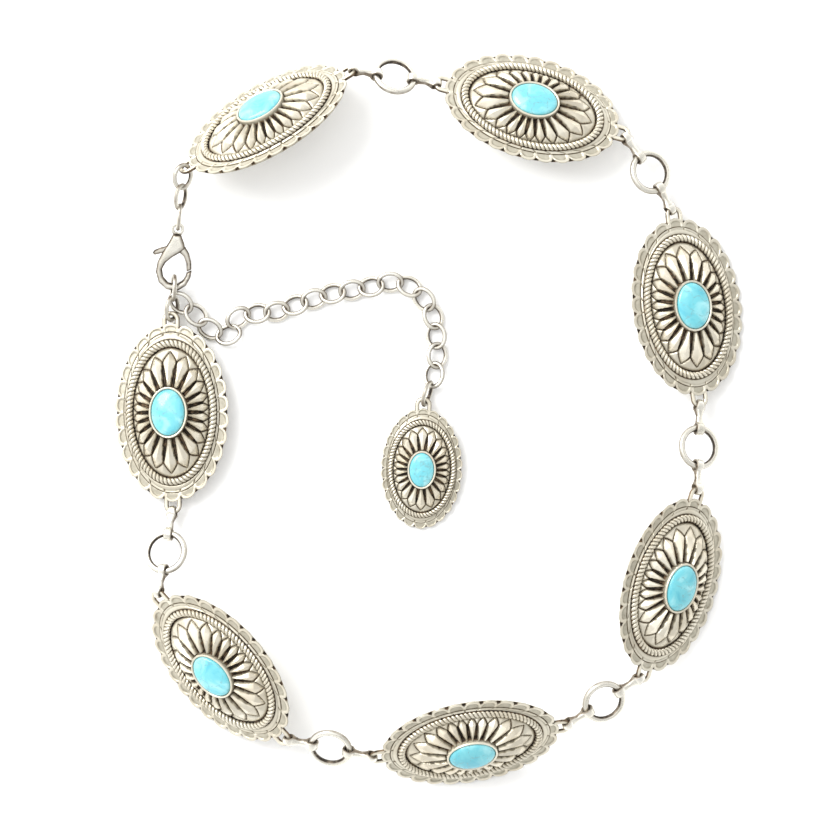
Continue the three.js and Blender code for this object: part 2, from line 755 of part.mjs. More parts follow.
// The short chain of three links hangs from the first concho's ear and places the clasp's eye.
const [firstFrame, lastFrame] = [conchoFrames[0], conchoFrames[PLACES.length - 1]];
const [upperHub, lowerHub] = [hubOf(firstFrame, CONCHO, -1), hubOf(lastFrame, CONCHO, 1)];
const eyeAim = corners[corners.length - 1].clone();
eyeAim.z = THREE.MathUtils.lerp(upperHub.z, lowerHub.z, eyeReach / (eyeReach + catchReach));
const upperGrip = earGrip(firstFrame, CONCHO, -1, eyeAim).point;
const upperAlong = eyeAim.clone().sub(upperGrip).normalize();
const upperLink = (i) =>
  upperGrip.clone().addScaledVector(upperAlong, -linkGrip + linkSemi.x + i * tautPitch);
const claspEye = upperLink(CLASP_LINK_ROLLS.length - 1).addScaledVector(upperAlong, linkSemi.x + eyeSeat);

// Two catch links reach back from the last concho's ear into the clasp's hook.
const lowerGrip = earGrip(lastFrame, CONCHO, 1, claspEye).point;
const claspAlong = lowerGrip.clone().sub(claspEye).normalize();
const lowerLink = (i) =>
  lowerGrip.clone().addScaledVector(claspAlong, linkGrip - linkSemi.x - i * tautPitch);
const quarterTurn = new THREE.Matrix4().makeRotationZ(Math.PI / 2);
const claspFrame = frameAlong(claspEye, claspAlong, 0).multiply(quarterTurn);
pieceIn(belt, "clasp_body", claspBody(), silver, claspFrame);
pieceIn(belt, "clasp_lever", claspLever(), silver, claspFrame);

// The chains

const linkShape = linkGeometry();
const placedLink = (at, along, roll) => linkShape.clone().applyMatrix4(frameAlong(at, along, roll));

const claspLinks = CLASP_LINK_ROLLS.map((roll, i) => placedLink(upperLink(i), upperAlong, rad(roll)));
pieceIn(belt, "clasp_chain", geometryOf(fuse(claspLinks)), silver, new THREE.Matrix4());

// The spare chain starts at the catch link in the hook.
const catchLinks = CATCH_LINK_ROLLS.map((roll, i) => {
  return placedLink(lowerLink(CATCH_LINK_ROLLS.length - 1 - i), claspAlong, rad(roll));
});
const chainHeading = vec(CHAIN_START.x, CHAIN_START.y, CHAIN_START.z).normalize();
const chainStart = lowerLink(CATCH_LINK_ROLLS.length - 1).addScaledVector(claspAlong, linkSemi.x);
chainStart.addScaledVector(chainHeading, tautPitch - linkSemi.x);

// Points a pitch apart in a straight line, along a smooth curve through the route.
function linkPlaces(route) {
  const fine = new THREE.CatmullRomCurve3(route, false, "centripetal").getSpacedPoints(2000);
  const places = [fine[0]];
  fine.forEach((p) => {
    if (p.distanceTo(places[places.length - 1]) >= LINK.pitch) places.push(p);
  });
  return places;
}

const places = linkPlaces([
  chainStart,
  ...CHAIN_ROUTE.map(([x, y, z]) => vec(x, y, z + restHeight(lyingRoll))),
]);
const chainLinks = places.map((at, i) => {
  const before = places[Math.max(i - 1, 0)];
  const after = places[Math.min(i + 1, places.length - 1)];
  return placedLink(at, after.clone().sub(before), lyingRoll * (i % 2 ? 1 : -1));
});

// The end link stands up on the table, taut against the last lying one.
const lastPlace = places[places.length - 1];
const endRoll = rad(END_LINK_ROLL);
const rise = (restHeight(endRoll) - lastPlace.z) / tautPitch;
const endHeading = vec(END_LINK_PLACE.x - lastPlace.x, END_LINK_PLACE.y - lastPlace.y);
endHeading.normalize().multiplyScalar(Math.sqrt(1 - rise ** 2)).setZ(rise);
const endLink = lastPlace.clone().addScaledVector(endHeading, tautPitch);
chainLinks.push(placedLink(endLink, endHeading, endRoll));
pieceIn(belt, "spare_chain", geometryOf(fuse([...catchLinks, ...chainLinks])), silver, new THREE.Matrix4());

// The drop hangs from the last link by its one ear, and its foot rests on the table.
const DROP_EAR_SLACK = 0.8;
const dropGrip = linkSemi.x - LINK.wire / 2 - DROP_EAR_SLACK - DROP.earWire / 2;
const dropHub = endLink.clone().addScaledVector(endHeading, dropGrip + DROP.earRadius);
const dropDip = Math.asin((dropHub.z - DROP.rimThickness / 2) / (DROP.length + DROP.earReach));
const dropHeading = rad(DROP_HEADING);
const dropAlong = vec(Math.cos(dropHeading), Math.sin(dropHeading), -Math.tan(dropDip));
const dropFrame = frameAlong(vec(0, 0), dropAlong, 0);
dropFrame.setPosition(dropHub.clone().sub(hubOf(dropFrame, DROP, -1)));
pieceIn(belt, "concho_drop", conchoGeometry(DROP, [-1]), silver, dropFrame);
pieceIn(belt, "stone_drop", stoneGeometry(DROP), turquoise, dropFrame);

// The whole belt, moved so that the table under its middle is the origin.
const whole = new THREE.Group();
whole.add(belt);
whole.updateMatrixWorld(true);
const box = new THREE.Box3().setFromObject(belt, true);
belt.position.set(-(box.min.x + box.max.x) / 2, -(box.min.y + box.max.y) / 2, -box.min.z);

export default whole;
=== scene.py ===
import json
import math

import bmesh
import bpy
import numpy as np
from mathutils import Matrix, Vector


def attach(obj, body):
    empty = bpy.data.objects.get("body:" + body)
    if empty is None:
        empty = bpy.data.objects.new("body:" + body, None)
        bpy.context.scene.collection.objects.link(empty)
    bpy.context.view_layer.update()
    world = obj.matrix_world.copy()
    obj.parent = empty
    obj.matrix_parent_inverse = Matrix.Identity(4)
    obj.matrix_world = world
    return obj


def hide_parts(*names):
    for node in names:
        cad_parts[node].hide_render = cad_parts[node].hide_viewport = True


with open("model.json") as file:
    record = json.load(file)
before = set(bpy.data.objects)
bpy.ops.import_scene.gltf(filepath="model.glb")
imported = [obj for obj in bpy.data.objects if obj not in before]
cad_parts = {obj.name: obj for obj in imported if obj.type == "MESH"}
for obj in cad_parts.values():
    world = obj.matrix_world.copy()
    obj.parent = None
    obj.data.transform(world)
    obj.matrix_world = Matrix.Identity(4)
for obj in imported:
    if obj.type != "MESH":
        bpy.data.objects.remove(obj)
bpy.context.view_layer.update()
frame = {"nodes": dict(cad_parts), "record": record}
nodes = frame["nodes"]

# Sizes in millimetres. The conchos' sizes and the places of the links are those of the part's source.
MM = 0.001
GAP = 0.3

CONCHO = {
    "length": 76.0, "width": 49.5, "lobes": 26, "petals": 22, "lobe_notch": 1.3, "rim": 2.0,
    "border": (3.9, 4.2), "rope": (8.6, 6.6), "rope_width": 3.1, "rope_height": 1.9,
    "petal_tip": (12.4, 8.2), "petal_height": 1.8, "dome": 7.6, "stone": (19.6, 14.4),
    "stone_crown": 1.7, "bezel_wall": 0.8, "bezel": 10.0, "seat_depth": 2.2, "wall": 1.6,
    "ear_radius": 2.8, "ear_wire": 1.7, "ear_reach": 1.4, "rope_turns": 42, "detail": 1.0,
}
DROP = {
    "length": 51.6, "width": 34.8, "lobes": 26, "petals": 22, "lobe_notch": 0.9, "rim": 1.7,
    "border": (2.6, 2.6), "rope": (5.9, 4.0), "rope_width": 2.2, "rope_height": 1.4,
    "petal_tip": (8.3, 5.2), "petal_height": 1.3, "dome": 5.2, "stone": (14.6, 10.4),
    "stone_crown": 1.3, "bezel_wall": 0.6, "bezel": 6.9, "seat_depth": 1.8, "wall": 1.3,
    "ear_radius": 2.6, "ear_wire": 1.5, "ear_reach": 1.4, "rope_turns": 38, "detail": 0.7,
}
RING = {"radius": 8.2, "wire": 2.6, "steps": 80, "sides": 16}
CONNECTOR = {
    "span": 9.3, "offset": 0.125, "waist_height": 2.7,
    "ear_eye": {"shift": -0.35, "semi": (2.05, 1.9), "half_thick": 0.58},
    "ring_eye": {"shift": 0.35, "semi": (2.3, 2.25), "half_thick": 0.62},
    "widths": ((-7.9, 2.2), (-6.6, 2.5), (-3.3, 4.6), (-0.5, 2.5), (4.6, 3.6), (8.2, 3.6)),
}

# "bite" is a share of the spacing wire; "round_wire" is the one shown
LINK = {
    "length": 11.6, "width": 9.2, "wire": 1.6, "round_wire": 1.85, "pitch": 8.3, "bite": 0.25,
    "steps": 48, "sides": 12,
}
JOINTS = ("ab", "bc", "cd", "de", "ef", "fg")
UP = np.array([0.0, 0.0, 1.0])


# Frames read from the solids

# how well triangles of one flat face agree in normal and offset
FLAT_COSINE = 0.99995
FLAT_OFFSET = 0.05
LEAST_AREA = 1e-9


def triangles_of(node):
    """Points of a solid and the corners of its triangles, in millimetres."""
    mesh = node.data
    mesh.calc_loop_triangles()
    points = np.array([v.co[:] for v in mesh.vertices]) / MM
    corners = np.array([t.vertices[:] for t in mesh.loop_triangles])
    return points, points[corners]


def face_crosses(corners):
    """For each triangle the vector along its normal that is twice its area long."""
    return np.cross(corners[:, 1] - corners[:, 0], corners[:, 2] - corners[:, 0])


def second_moments(corners, weights):
    """How triangles spread round the origin, each with its weight."""
    spread = np.zeros((3, 3))
    for triangle, weight in zip(corners, weights):
        total = triangle.sum(axis=0)
        spread += weight * (triangle.T @ triangle + np.outer(total, total))
    return spread


def back_frame(node):
    """Frame of a concho: its middle on the flat back, long axis, cross axis, way out of the face."""
    _, corners = triangles_of(node)
    cross = face_crosses(corners)
    doubled = np.linalg.norm(cross, axis=1)
    keep = doubled > LEAST_AREA
    corners, cross, doubled = corners[keep], cross[keep], doubled[keep]
    normals = cross / doubled[:, None]
    offsets = np.einsum("ij,ij->i", normals, corners[:, 0])
    near = abs(offsets[:, None] - offsets[None, :]) < FLAT_OFFSET
    alike = (normals @ normals.T > FLAT_COSINE) & near
    flat = alike[np.argmax(alike @ doubled)]
    patch, weight = corners[flat], doubled[flat] / 2
    middle = (patch.mean(axis=1) * weight[:, None]).sum(axis=0) / weight.sum()
    away = -(normals[flat] * weight[:, None]).sum(axis=0)
    away /= np.linalg.norm(away)
    along = np.linalg.eigh(second_moments(patch - middle, weight))[1][:, 2]
    along -= away * (along @ away)
    along /= np.linalg.norm(along)
    return {"at": middle, "x": along, "y": np.cross(away, along), "z": away}


def main_axes(node):
    """Middle, main axes and lengths of a symmetric solid, the longest axis first."""
    points, corners = triangles_of(node)
    weight = np.linalg.norm(face_crosses(corners), axis=1)
    balance = (corners.mean(axis=1) * weight[:, None]).sum(axis=0) / weight.sum()
    axes = np.linalg.eigh(second_moments(corners - balance, weight))[1][:, ::-1].T
    reach = points @ axes.T
    low, high = reach.min(axis=0), reach.max(axis=0)
    return ((low + high) / 2) @ axes, axes, high - low


def placed(points, place):
    """Points of a piece's own frame, in metres in the shared frame."""
    return (place["at"] + points @ np.array([place["x"], place["y"], place["z"]])) * MM


# Numbers and directions

def smooth(low, high, value):
    """Share of the way from low to high, with soft ends."""
    share = np.clip((value - low) / (high - low), 0, 1)
    return share * share * (3 - 2 * share)


def unit(vector):
    return np.array(vector) / np.linalg.norm(vector)


def unit_rows(vectors):
    return vectors / np.linalg.norm(vectors, axis=1)[:, None]


def circle(steps):
    """Angles of points evenly spaced round a circle."""
    return 2 * np.pi * np.arange(steps) / steps


def squared(values, power):
    """A circle's sines or cosines, pushed outwards so that the circle becomes squarer."""
    return np.sign(values) * np.abs(values) ** power


# Meshes built from grids of points

def grid_faces(rows, count, start=0, flip=False):
    """Faces between rows of points that each close on themselves."""
    faces = []
    for r in range(rows - 1):
        for i in range(count):
            a = start + r * count + i
            b = start + r * count + (i + 1) % count
            faces.append((a, a + count, b + count, b) if flip else (a, b, b + count, a + count))
    return faces


def halving_faces(wide, narrow, count, flip=False):
    """Faces between a row of points and a row with half as many."""
    half = count // 2
    faces = []
    for i in range(half):
        a, b, c = wide + 2 * i, wide + 2 * i + 1, wide + (2 * i + 2) % count
        p, q = narrow + i, narrow + (i + 1) % half
        strip = [(a, b, p), (b, q, p), (b, c, q)]
        faces += [face[::-1] for face in strip] if flip else strip
    return faces


def closing_faces(start, count, centre, flip=False):
    """Triangles between a row of points and a point in its middle."""
    faces = [(start + i, start + (i + 1) % count, centre) for i in range(count)]
    return [(b, a, c) for a, b, c in faces] if flip else faces


def ring_faces(count, sides, flip=False):
    """Faces of a tube whose last row of points meets its first."""
    faces = []
    for r in range(count):
        s = (r + 1) % count
        for i in range(sides):
            j = (i + 1) % sides
            face = (r * sides + i, r * sides + j, s * sides + j, s * sides + i)
            faces.append((face[0], face[3], face[2], face[1]) if flip else face)
    return faces


def end_faces(count, sides, flip=False):
    """The two ends of an open tube."""
    ends = [tuple(range(sides))[::-1], tuple((count - 1) * sides + i for i in range(sides))]
    return [end[::-1] for end in ends] if flip else ends


def tube(path, radius, sides, closed=True, up=UP):
    """Points and faces of a round wire along a path that doesn't run along "up"."""
    count = len(path)
    after = np.roll(path, -1, axis=0)
    before = np.roll(path, 1, axis=0)
    if not closed:
        after[-1], before[0] = path[-1], path[0]
    along = unit_rows(after - before)
    rising = unit_rows(up - along * (along @ up)[:, None])
    across = np.cross(along, rising)
    turn = circle(sides)
    wide = np.cos(turn)[None, :, None] * across[:, None, :]
    tall = np.sin(turn)[None, :, None] * rising[:, None, :]
    points = (path[:, None, :] + radius * (wide + tall)).reshape(-1, 3)
    if closed:
        return points, ring_faces(count, sides)
    return points, grid_faces(count, sides) + end_faces(count, sides)


def joined(parts):
    """One set of points, faces and patina-and-shade values from several."""
    points, faces, patina_and_shade = [], [], []
    start = 0
    for p, f, r in parts:
        points.append(p)
        patina_and_shade.append(np.zeros(len(p)) + r)
        faces.extend(tuple(start + i for i in face) for face in f)
        start += len(p)
    return np.concatenate(points), faces, np.concatenate(patina_and_shade)


def piece(name, points, faces, material, replaces, body="belt", patina_and_shade=None, sharp=None):
    """A mesh object from points in metres, riding on a body."""
    mesh = bpy.data.meshes.new(name)
    mesh.from_pydata(points.tolist(), [], faces)
    mesh.validate()
    mesh.shade_smooth()
    if sharp is not None:
        mesh.set_sharp_from_angle(angle=math.radians(sharp))
    if patina_and_shade is not None:
        # per point, how much patina in hollows and painted shade on sides and edges darken the colour
        layer = mesh.attributes.new("patina_and_shade", "FLOAT", "POINT")
        layer.data.foreach_set("value", np.asarray(patina_and_shade, dtype=np.float32))
    mesh.materials.append(material)
    made = bpy.data.objects.new(name, mesh)
    bpy.context.scene.collection.objects.link(made)
    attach(made, body)
    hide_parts(*replaces)


# Painted shade of round wires

def side_shade(normals, face):
    """Painted shade on the sides and undersides of a wire, none on what faces out."""
    return 0.95 * smooth(0.84, 0.4, np.abs(normals @ face))


def outward(points, path, sides):
    return unit_rows(points - np.repeat(path, sides, axis=0))


def loop_shade(points, path, sides, middle, face):
    """Painted shade on a closed loop of wire: full along its inner edge, less on the rest of its sides."""
    away = outward(points, path, sides)
    inward = unit_rows(np.repeat(middle - path, sides, axis=0))
    inner = smooth(0.3, 0.72, np.einsum("ij,ij->i", away, inward))
    return np.clip(0.6 * side_shade(away, face) + inner, 0, 1)


# Ovals

ARC_STEPS = 7201


def arc_angles(semi, count):
    """True polar angles of points evenly spaced along an ellipse, and the length round it."""
    fine = np.linspace(0, 2 * np.pi, ARC_STEPS)
    x, y = semi[0] * np.cos(fine), semi[1] * np.sin(fine)
    run = np.concatenate([[0], np.cumsum(np.hypot(np.diff(x), np.diff(y)))])
    at = np.interp(np.arange(count) / count * run[-1], run, fine)
    return np.unwrap(np.arctan2(semi[1] * np.sin(at), semi[0] * np.cos(at))), run[-1]


def ray(semi, angle):
    """How far out an oval lies at an angle."""
    return 1 / np.hypot(np.cos(angle) / semi[0], np.sin(angle) / semi[1])


def inset_semi(spec, inset):
    """Half length and half width of the oval that lies this far inside a casting's outline."""
    return spec["length"] / 2 - inset[0], spec["width"] / 2 - inset[1]


def polar_row(reach, angle, height):
    return np.stack([reach * np.cos(angle), reach * np.sin(angle), np.zeros(len(angle)) + height], axis=1)


def oval_row(semi, angle, height, dark):
    """One row of points on an oval, and how much patina and painted shade darken each."""
    return polar_row(ray(semi, angle), angle, height), np.zeros(len(angle)) + dark


# The relief of a concho

# most lengths are as on a large concho and scaled by a design's "detail"; shades are shares of full
# darkening by patina and painted shade
SAMPLES = 572
GROOVE_RISE = 0.5
NOTCH = {
    "share": 1.2, "power": 2.1, "web": 0.53, "web_height": 0.5, "patina_and_shade_span": (0.5, 0.6), "shade": (0.5, 0.5),
}

# share of the notch filled, height as a share of the rim's, whether the low web holds the row back
WALL_ROWS = (
    (1.0, 0.0, False), (0.45, 0.34, False), (0.4, 0.42, True),
    (0.32, 0.52, True), (0.28, 0.55, False), (0.0, 0.8, False),
)
MARGIN = {"inset": 0.12, "height": 0.985, "shade": (0.3, 0.6)}
LOBE = {
    "moon": (3.4, 2.95), "moon_power": 2.4, "moon_depth": 0.5, "moon_rise": 0.3,
    "crease": 0.3, "crease_depth": 0.8, "foot": 0.26, "foot_depth": 0.35,
    "shares": np.concatenate([[0.07], np.linspace(0.12, 0.8, 10), np.linspace(0.84, 1.0, 5)]),
}
LOBE_SHADE = {"crease": 0.8, "foot": 0.45, "moon": 0.31, "all": 0.09}
BAND = {
    "swell": 0.5, "line_at": 0.95, "line": 0.22, "line_depth": 0.22, "dots_at": 0.5, "dots": (0.36, 0.4),
    "dots_depth": 0.5, "rope_depth": 0.3, "shares": np.linspace(0.05, 1.0, 10),
}
BAND_SHADE = {"all": 0.16, "line": 0.3, "dots": 0.75, "rope": 0.8}
UNDER_ROPE = {"shares": (0.3, 0.7, 1.0), "rise": 0.4, "shade": 0.9}
OUTER_FIELD = np.linspace(0.03, 0.5, 18)
INNER_FIELD = np.linspace(0.55, 0.97, 8)
DOME_POWER = 1.7
SEAT_SHADE = 0.9

# widths are half widths as shares of the pitch, at the casting's long ends and how much less at its sides
PETAL = {
    "widest": (0.475, 0.085), "root": (0.235, 0.035), "shoulder": 0.74, "belly": 1.15, "point": 0.75,
    "root_rise": 0.72, "edge": 0.16, "edge_share": 0.3, "least_half": 1e-3, "least_gap": 0.02,
}
CHANNEL = {"width": 0.42, "depth": 0.6, "bezel_depth": 0.75, "slope": 0.75, "past_tip": 0.4, "between": 0.55}
FIELD_SHADE = {"channel": 0.85, "all": 0.14, "flank": 0.08, "groove": 0.9, "foot": 0.5}
GROOVE_DROP = 0.4
HOLLOW = {"passes": 5, "margin": 0.08, "full": 0.5, "share": 0.8}
BACK = {"rim": 1.6, "least": 0.3, "rim_shade": 0.2, "shade": 0.45, "shares": np.linspace(0.08, 1.0, 5)}


def dome_height(spec, share):
    """Height of the domed field, from the bezel's foot at share 0 to the groove at share 1."""
    groove = spec["rim"] + GROOVE_RISE
    return groove + (spec["dome"] - groove) * (1 - share ** DOME_POWER)


def stone_opening(spec):
    return np.array(spec["stone"]) / 2 + GAP


def layout_of(spec):
    """Angles, pitches and ovals that the rows of one casting share."""
    step = np.arange(SAMPLES)
    even, around = arc_angles(inset_semi(spec, (0, 0)), SAMPLES)
    lobe = (step * spec["lobes"] / SAMPLES + 0.5) % 1 - 0.5
    pitch = around / spec["lobes"]
    notch = NOTCH["share"] * spec["lobe_notch"]
    rope = np.array(spec["rope"])
    return {
        "even": even,
        "true": circle(SAMPLES),
        "along_lobe": lobe * pitch,
        "to_notch": (0.5 - np.abs(lobe)) * pitch,
        "petal": (step * spec["petals"] / SAMPLES + 0.5) % 1 - 0.5,
        "notch": notch,
        "scallop": notch * np.abs(2 * lobe) ** NOTCH["power"],
        "border": np.array(spec["border"]),
        "rope_outer": rope - spec["rope_width"] / 2,
        "rope_inner": rope + spec["rope_width"] / 2,
        "bezel": stone_opening(spec) + spec["bezel_wall"],
    }


def side_rows(spec, lay):
    """The rim's side from the back up, darker than the top, with a low web in each notch darkened further by
    patina and painted shade.
    """
    notch, scallop = lay["notch"], lay["scallop"]
    in_notch = smooth(*NOTCH["patina_and_shade_span"], scallop / notch)
    rows = []
    for share, height, web in WALL_ROWS:
        inset = scallop + (notch - scallop) * share
        if web:
            inset = np.minimum(inset, NOTCH["web"] * notch)
        # the side wall is darker than the top; above the web the notches darken further with patina and
        # painted shade
        dark = NOTCH["shade"][0] + NOTCH["shade"][1] * in_notch * (height > NOTCH["web_height"])
        rows.append(oval_row(inset_semi(spec, (inset, inset)), lay["even"], height * spec["rim"], dark))
    inset = scallop + MARGIN["inset"]
    semi = inset_semi(spec, (inset, inset))
    dark = MARGIN["shade"][0] + MARGIN["shade"][1] * in_notch
    rows.append(oval_row(semi, lay["even"], MARGIN["height"] * spec["rim"], dark))
    return rows


def lobe_rows(spec, lay):
    """The lobes: raised margin, sunken half-moon, line along its foot."""
    d = spec["detail"]
    scallop = lay["scallop"]
    foot = lay["border"].mean()
    power = LOBE["moon_power"]
    rows = []
    for t in LOBE["shares"]:
        inset = [scallop + (border - scallop) * t for border in lay["border"]]
        deep = foot * t + scallop * (1 - t)
        to_foot = foot - deep
        beside = np.abs(lay["along_lobe"] / (LOBE["moon"][0] * d)) ** power
        moon = (beside + np.abs(to_foot / (LOBE["moon"][1] * d)) ** power) ** (1 / power)
        sunk = smooth(1.0, 0.86, moon)
        crease = np.exp(-(lay["to_notch"] / (LOBE["crease"] * d)) ** 2) * smooth(2.4 * d, 1.4 * d, deep)
        line = np.exp(-(to_foot / (LOBE["foot"] * d)) ** 2)
        height = spec["rim"] - LOBE["moon_depth"] * d * sunk
        height = height - LOBE["crease_depth"] * d * crease - LOBE["foot_depth"] * d * line
        height = height + LOBE["moon_rise"] * d * sunk * smooth(1.2 * d, 4.2 * d, deep)
        dark = LOBE_SHADE["crease"] * crease + LOBE_SHADE["foot"] * line
        dark = dark + LOBE_SHADE["moon"] * sunk + LOBE_SHADE["all"]
        rows.append(oval_row(inset_semi(spec, inset), lay["even"], height, dark))
    return rows


def band_rows(spec, lay):
    """The smooth band with its line and dots. Its points turn from even spacing to even angles."""
    d = spec["detail"]
    outer, border = lay["rope_outer"], lay["border"]
    across, along = BAND["dots"]
    rows = []
    for t in BAND["shares"]:
        turn = lay["even"] + (lay["true"] - lay["even"]) * smooth(0.0, 1.0, t)
        run = t * ray(outer - border, lay["true"])
        line = np.exp(-((run - BAND["line_at"] * d) / (BAND["line"] * d)) ** 2) * smooth(0.92, 0.7, t)
        along_run = (run - BAND["dots_at"] * d) / (along * d)
        dots = np.exp(-((lay["to_notch"] / (across * d)) ** 2) - along_run ** 2)
        by_rope = smooth(0.82, 1.0, t)
        height = spec["rim"] + BAND["swell"] * smooth(0, 1, t) - BAND["line_depth"] * d * line
        height = height - BAND["dots_depth"] * d * dots - BAND["rope_depth"] * d * by_rope
        dark = BAND_SHADE["all"] + BAND_SHADE["line"] * line
        dark = dark + BAND_SHADE["dots"] * dots + BAND_SHADE["rope"] * by_rope
        rows.append(oval_row(inset_semi(spec, border + (outer - border) * t), turn, height, dark))
    return rows


def under_rope_rows(spec, lay):
    """Under the rope, and the groove inside it."""
    rows = []
    for t in UNDER_ROPE["shares"]:
        height = spec["rim"] + GROOVE_RISE + UNDER_ROPE["rise"] * (math.sin(math.pi * t) - t)
        semi = inset_semi(spec, lay["rope_outer"] + spec["rope_width"] * t)
        rows.append(oval_row(semi, lay["true"], height, UNDER_ROPE["shade"]))
    return rows


def petal_rows(spec, lay, shares):
    """The domed field with its roof-shaped petals and the channels between them."""
    d = spec["detail"]
    angle, petal = lay["true"], np.abs(lay["petal"])
    bezel_reach = ray(lay["bezel"], angle)
    groove_reach = ray(inset_semi(spec, lay["rope_inner"]), angle)
    petal_reach = ray(inset_semi(spec, spec["petal_tip"]), angle) - bezel_reach
    at_sides = np.sin(angle) ** 2
    widest = PETAL["widest"][0] - PETAL["widest"][1] * at_sides
    root = PETAL["root"][0] - PETAL["root"][1] * at_sides
    shoulder = PETAL["shoulder"]
    rows = []
    for t in shares:
        reach = groove_reach + (bezel_reach - groove_reach) * t
        share = (reach - bezel_reach) / (groove_reach - bezel_reach)
        out = (reach - bezel_reach) / petal_reach
        taper = np.clip((1 - out) / (1 - shoulder), 0, 1)
        half = root + (widest - root) * (np.clip(out, 0, shoulder) / shoulder) ** PETAL["belly"]
        half = np.maximum(np.where(out < shoulder, half, widest * taper), PETAL["least_half"])
        roof = np.clip(1 - petal / half, 0, 1) * (out < 1)
        rise = PETAL["root_rise"] + (1 - PETAL["root_rise"]) * out / shoulder
        rise = np.where(out < shoulder, rise, taper ** PETAL["point"])
        edge = PETAL["edge_share"] * smooth(0.0, PETAL["edge"], roof)
        body = spec["petal_height"] * rise * (edge + (1 - PETAL["edge_share"]) * roof)
        beside = np.maximum(petal - half, 0) * reach * 2 * np.pi / spec["petals"]
        past_tip = np.maximum(out - 1, 0) * petal_reach
        channel = (beside * CHANNEL["slope"] / (CHANNEL["width"] * d)) ** 2
        channel = np.exp(-channel - (past_tip / (CHANNEL["past_tip"] * d)) ** 2)
        near_bezel = smooth(0.78, 0.6, out)
        valley = smooth(0.04, 0.0, roof)
        between = np.clip(1 - (0.5 - petal) / np.maximum(0.5 - half, PETAL["least_gap"]), 0, 1)
        between = between * valley * smooth(0.66, 0.86, out) * smooth(1.0, 0.9, share)
        by_groove = smooth(0.93, 1.0, share)
        height = dome_height(spec, share) - GROOVE_DROP * by_groove + body
        height = height - CHANNEL["depth"] * d * channel * valley
        height = height - CHANNEL["bezel_depth"] * d * near_bezel * valley + CHANNEL["between"] * d * between
        # painted shade on the petals' flanks towards the valleys
        flank = smooth(0.3, 0.0, roof) * smooth(0.9, 0.3, out) * (out < 1)
        dark = valley * (FIELD_SHADE["channel"] * channel + near_bezel + FIELD_SHADE["all"])
        dark = dark + FIELD_SHADE["flank"] * flank + FIELD_SHADE["groove"] * by_groove
        dark = dark + FIELD_SHADE["foot"] * smooth(0.12, 0.0, out)
        rows.append((polar_row(reach, angle, height), dark))
    return rows


def bezel_rows(spec, lay):
    """The bezel: foot, wall, rounded lip and the seat behind it."""
    foot, lip, wall = spec["dome"], spec["bezel"], spec["bezel_wall"]
    profile = (
        (0.12, foot - 0.35, 0.95),
        (0.0, foot + 0.1, 0.8),
        (-0.02, lip - 0.8, 0.15),
        (-0.05, lip - 0.28, 0.0),
        (-0.2, lip - 0.06, 0.0),
        (-0.45, lip, 0.0),
        (-0.8, lip - 0.12, 0.0),
        (-wall - 0.28, lip - 0.5, 0.6),
        (-wall - GAP, lip - spec["seat_depth"], SEAT_SHADE),
    )
    return [oval_row(lay["bezel"] + grow, lay["true"], height, dark) for grow, height, dark in profile]


def back_rows(spec, lay, angle):
    """The back: flat rim and hollow underside."""
    inner = np.array(inset_semi(spec, lay["rope_inner"]))
    rows = [oval_row(inset_semi(spec, (BACK["rim"], BACK["rim"])), angle, 0.0, BACK["rim_shade"]),
            oval_row(inner, angle, 0.0, BACK["rim_shade"])]
    for t in BACK["shares"]:
        top = dome_height(spec, 1 - t) if t < 1 else spec["bezel"] - spec["seat_depth"]
        semi = inner * (1 - t) + stone_opening(spec) * t
        rows.append(oval_row(semi, angle, max(top - spec["wall"], BACK["least"]), BACK["shade"]))
    return rows


def hollow_shade(height, detail):
    """Tarnish where a point lies deeper than the mean of what is round it."""
    mean = height.copy()
    for _ in range(HOLLOW["passes"]):
        mean = (np.roll(mean, 2, axis=1) + np.roll(mean, -2, axis=1) + 2 * mean) / 4
        mean[1:-1] = (mean[:-2] + mean[2:] + 2 * mean[1:-1]) / 4
    return np.clip((mean - height - HOLLOW["margin"] * detail) / (HOLLOW["full"] * detail), 0, 1)


def concho_shell(spec):
    """The scalloped, domed and petalled casting, with how much patina in its recesses and painted shade
    darken each point.
    """
    lay = layout_of(spec)
    sides = side_rows(spec, lay)
    outer = sides + lobe_rows(spec, lay) + band_rows(spec, lay) + under_rope_rows(spec, lay)
    outer += petal_rows(spec, lay, OUTER_FIELD)
    bezel = bezel_rows(spec, lay)
    inner = petal_rows(spec, lay, INNER_FIELD) + bezel
    grid = np.array([row for row, _ in outer + inner])
    shade = np.array([dark for _, dark in outer + inner])
    hollow = hollow_shade(grid[:, :, 2], spec["detail"])
    hollow[:len(sides)] = 0
    hollow[-len(bezel):] = 0
    shade = np.clip(shade + HOLLOW["share"] * hollow, 0, 1)

    # towards the bezel the columns crowd together, so every second one is enough there and on the back
    wide, half = len(outer), SAMPLES // 2
    seat = spec["bezel"] - spec["seat_depth"]
    back = back_rows(spec, lay, lay["true"][::2])
    points = [
        grid[:wide].reshape(-1, 3), grid[wide:, ::2].reshape(-1, 3), [[0, 0, seat]],
        *[row for row, _ in back], [[0, 0, seat - spec["wall"]]],
    ]
    shades = [
        shade[:wide].ravel(), shade[wide:, ::2].ravel(), [SEAT_SHADE],
        *[dark for _, dark in back], [BACK["shade"]],
    ]
    narrow = wide * SAMPLES
    front_centre = narrow + len(inner) * half
    back_start = front_centre + 1
    back_centre = back_start + len(back) * half
    faces = grid_faces(wide, SAMPLES)
    faces += halving_faces(narrow - SAMPLES, narrow, SAMPLES)
    faces += grid_faces(len(inner), half, narrow)
    faces += closing_faces(front_centre - half, half, front_centre)
    faces += halving_faces(0, back_start, SAMPLES, flip=True)
    faces += grid_faces(len(back), half, back_start, flip=True)
    faces += closing_faces(back_centre - half, half, back_centre, flip=True)
    return np.vstack(points), faces, np.concatenate(shades)


STRAND = {"steps": 10, "sides": 8, "swell": 1.02, "dark_from": 1.84, "dark_over": 0.4}


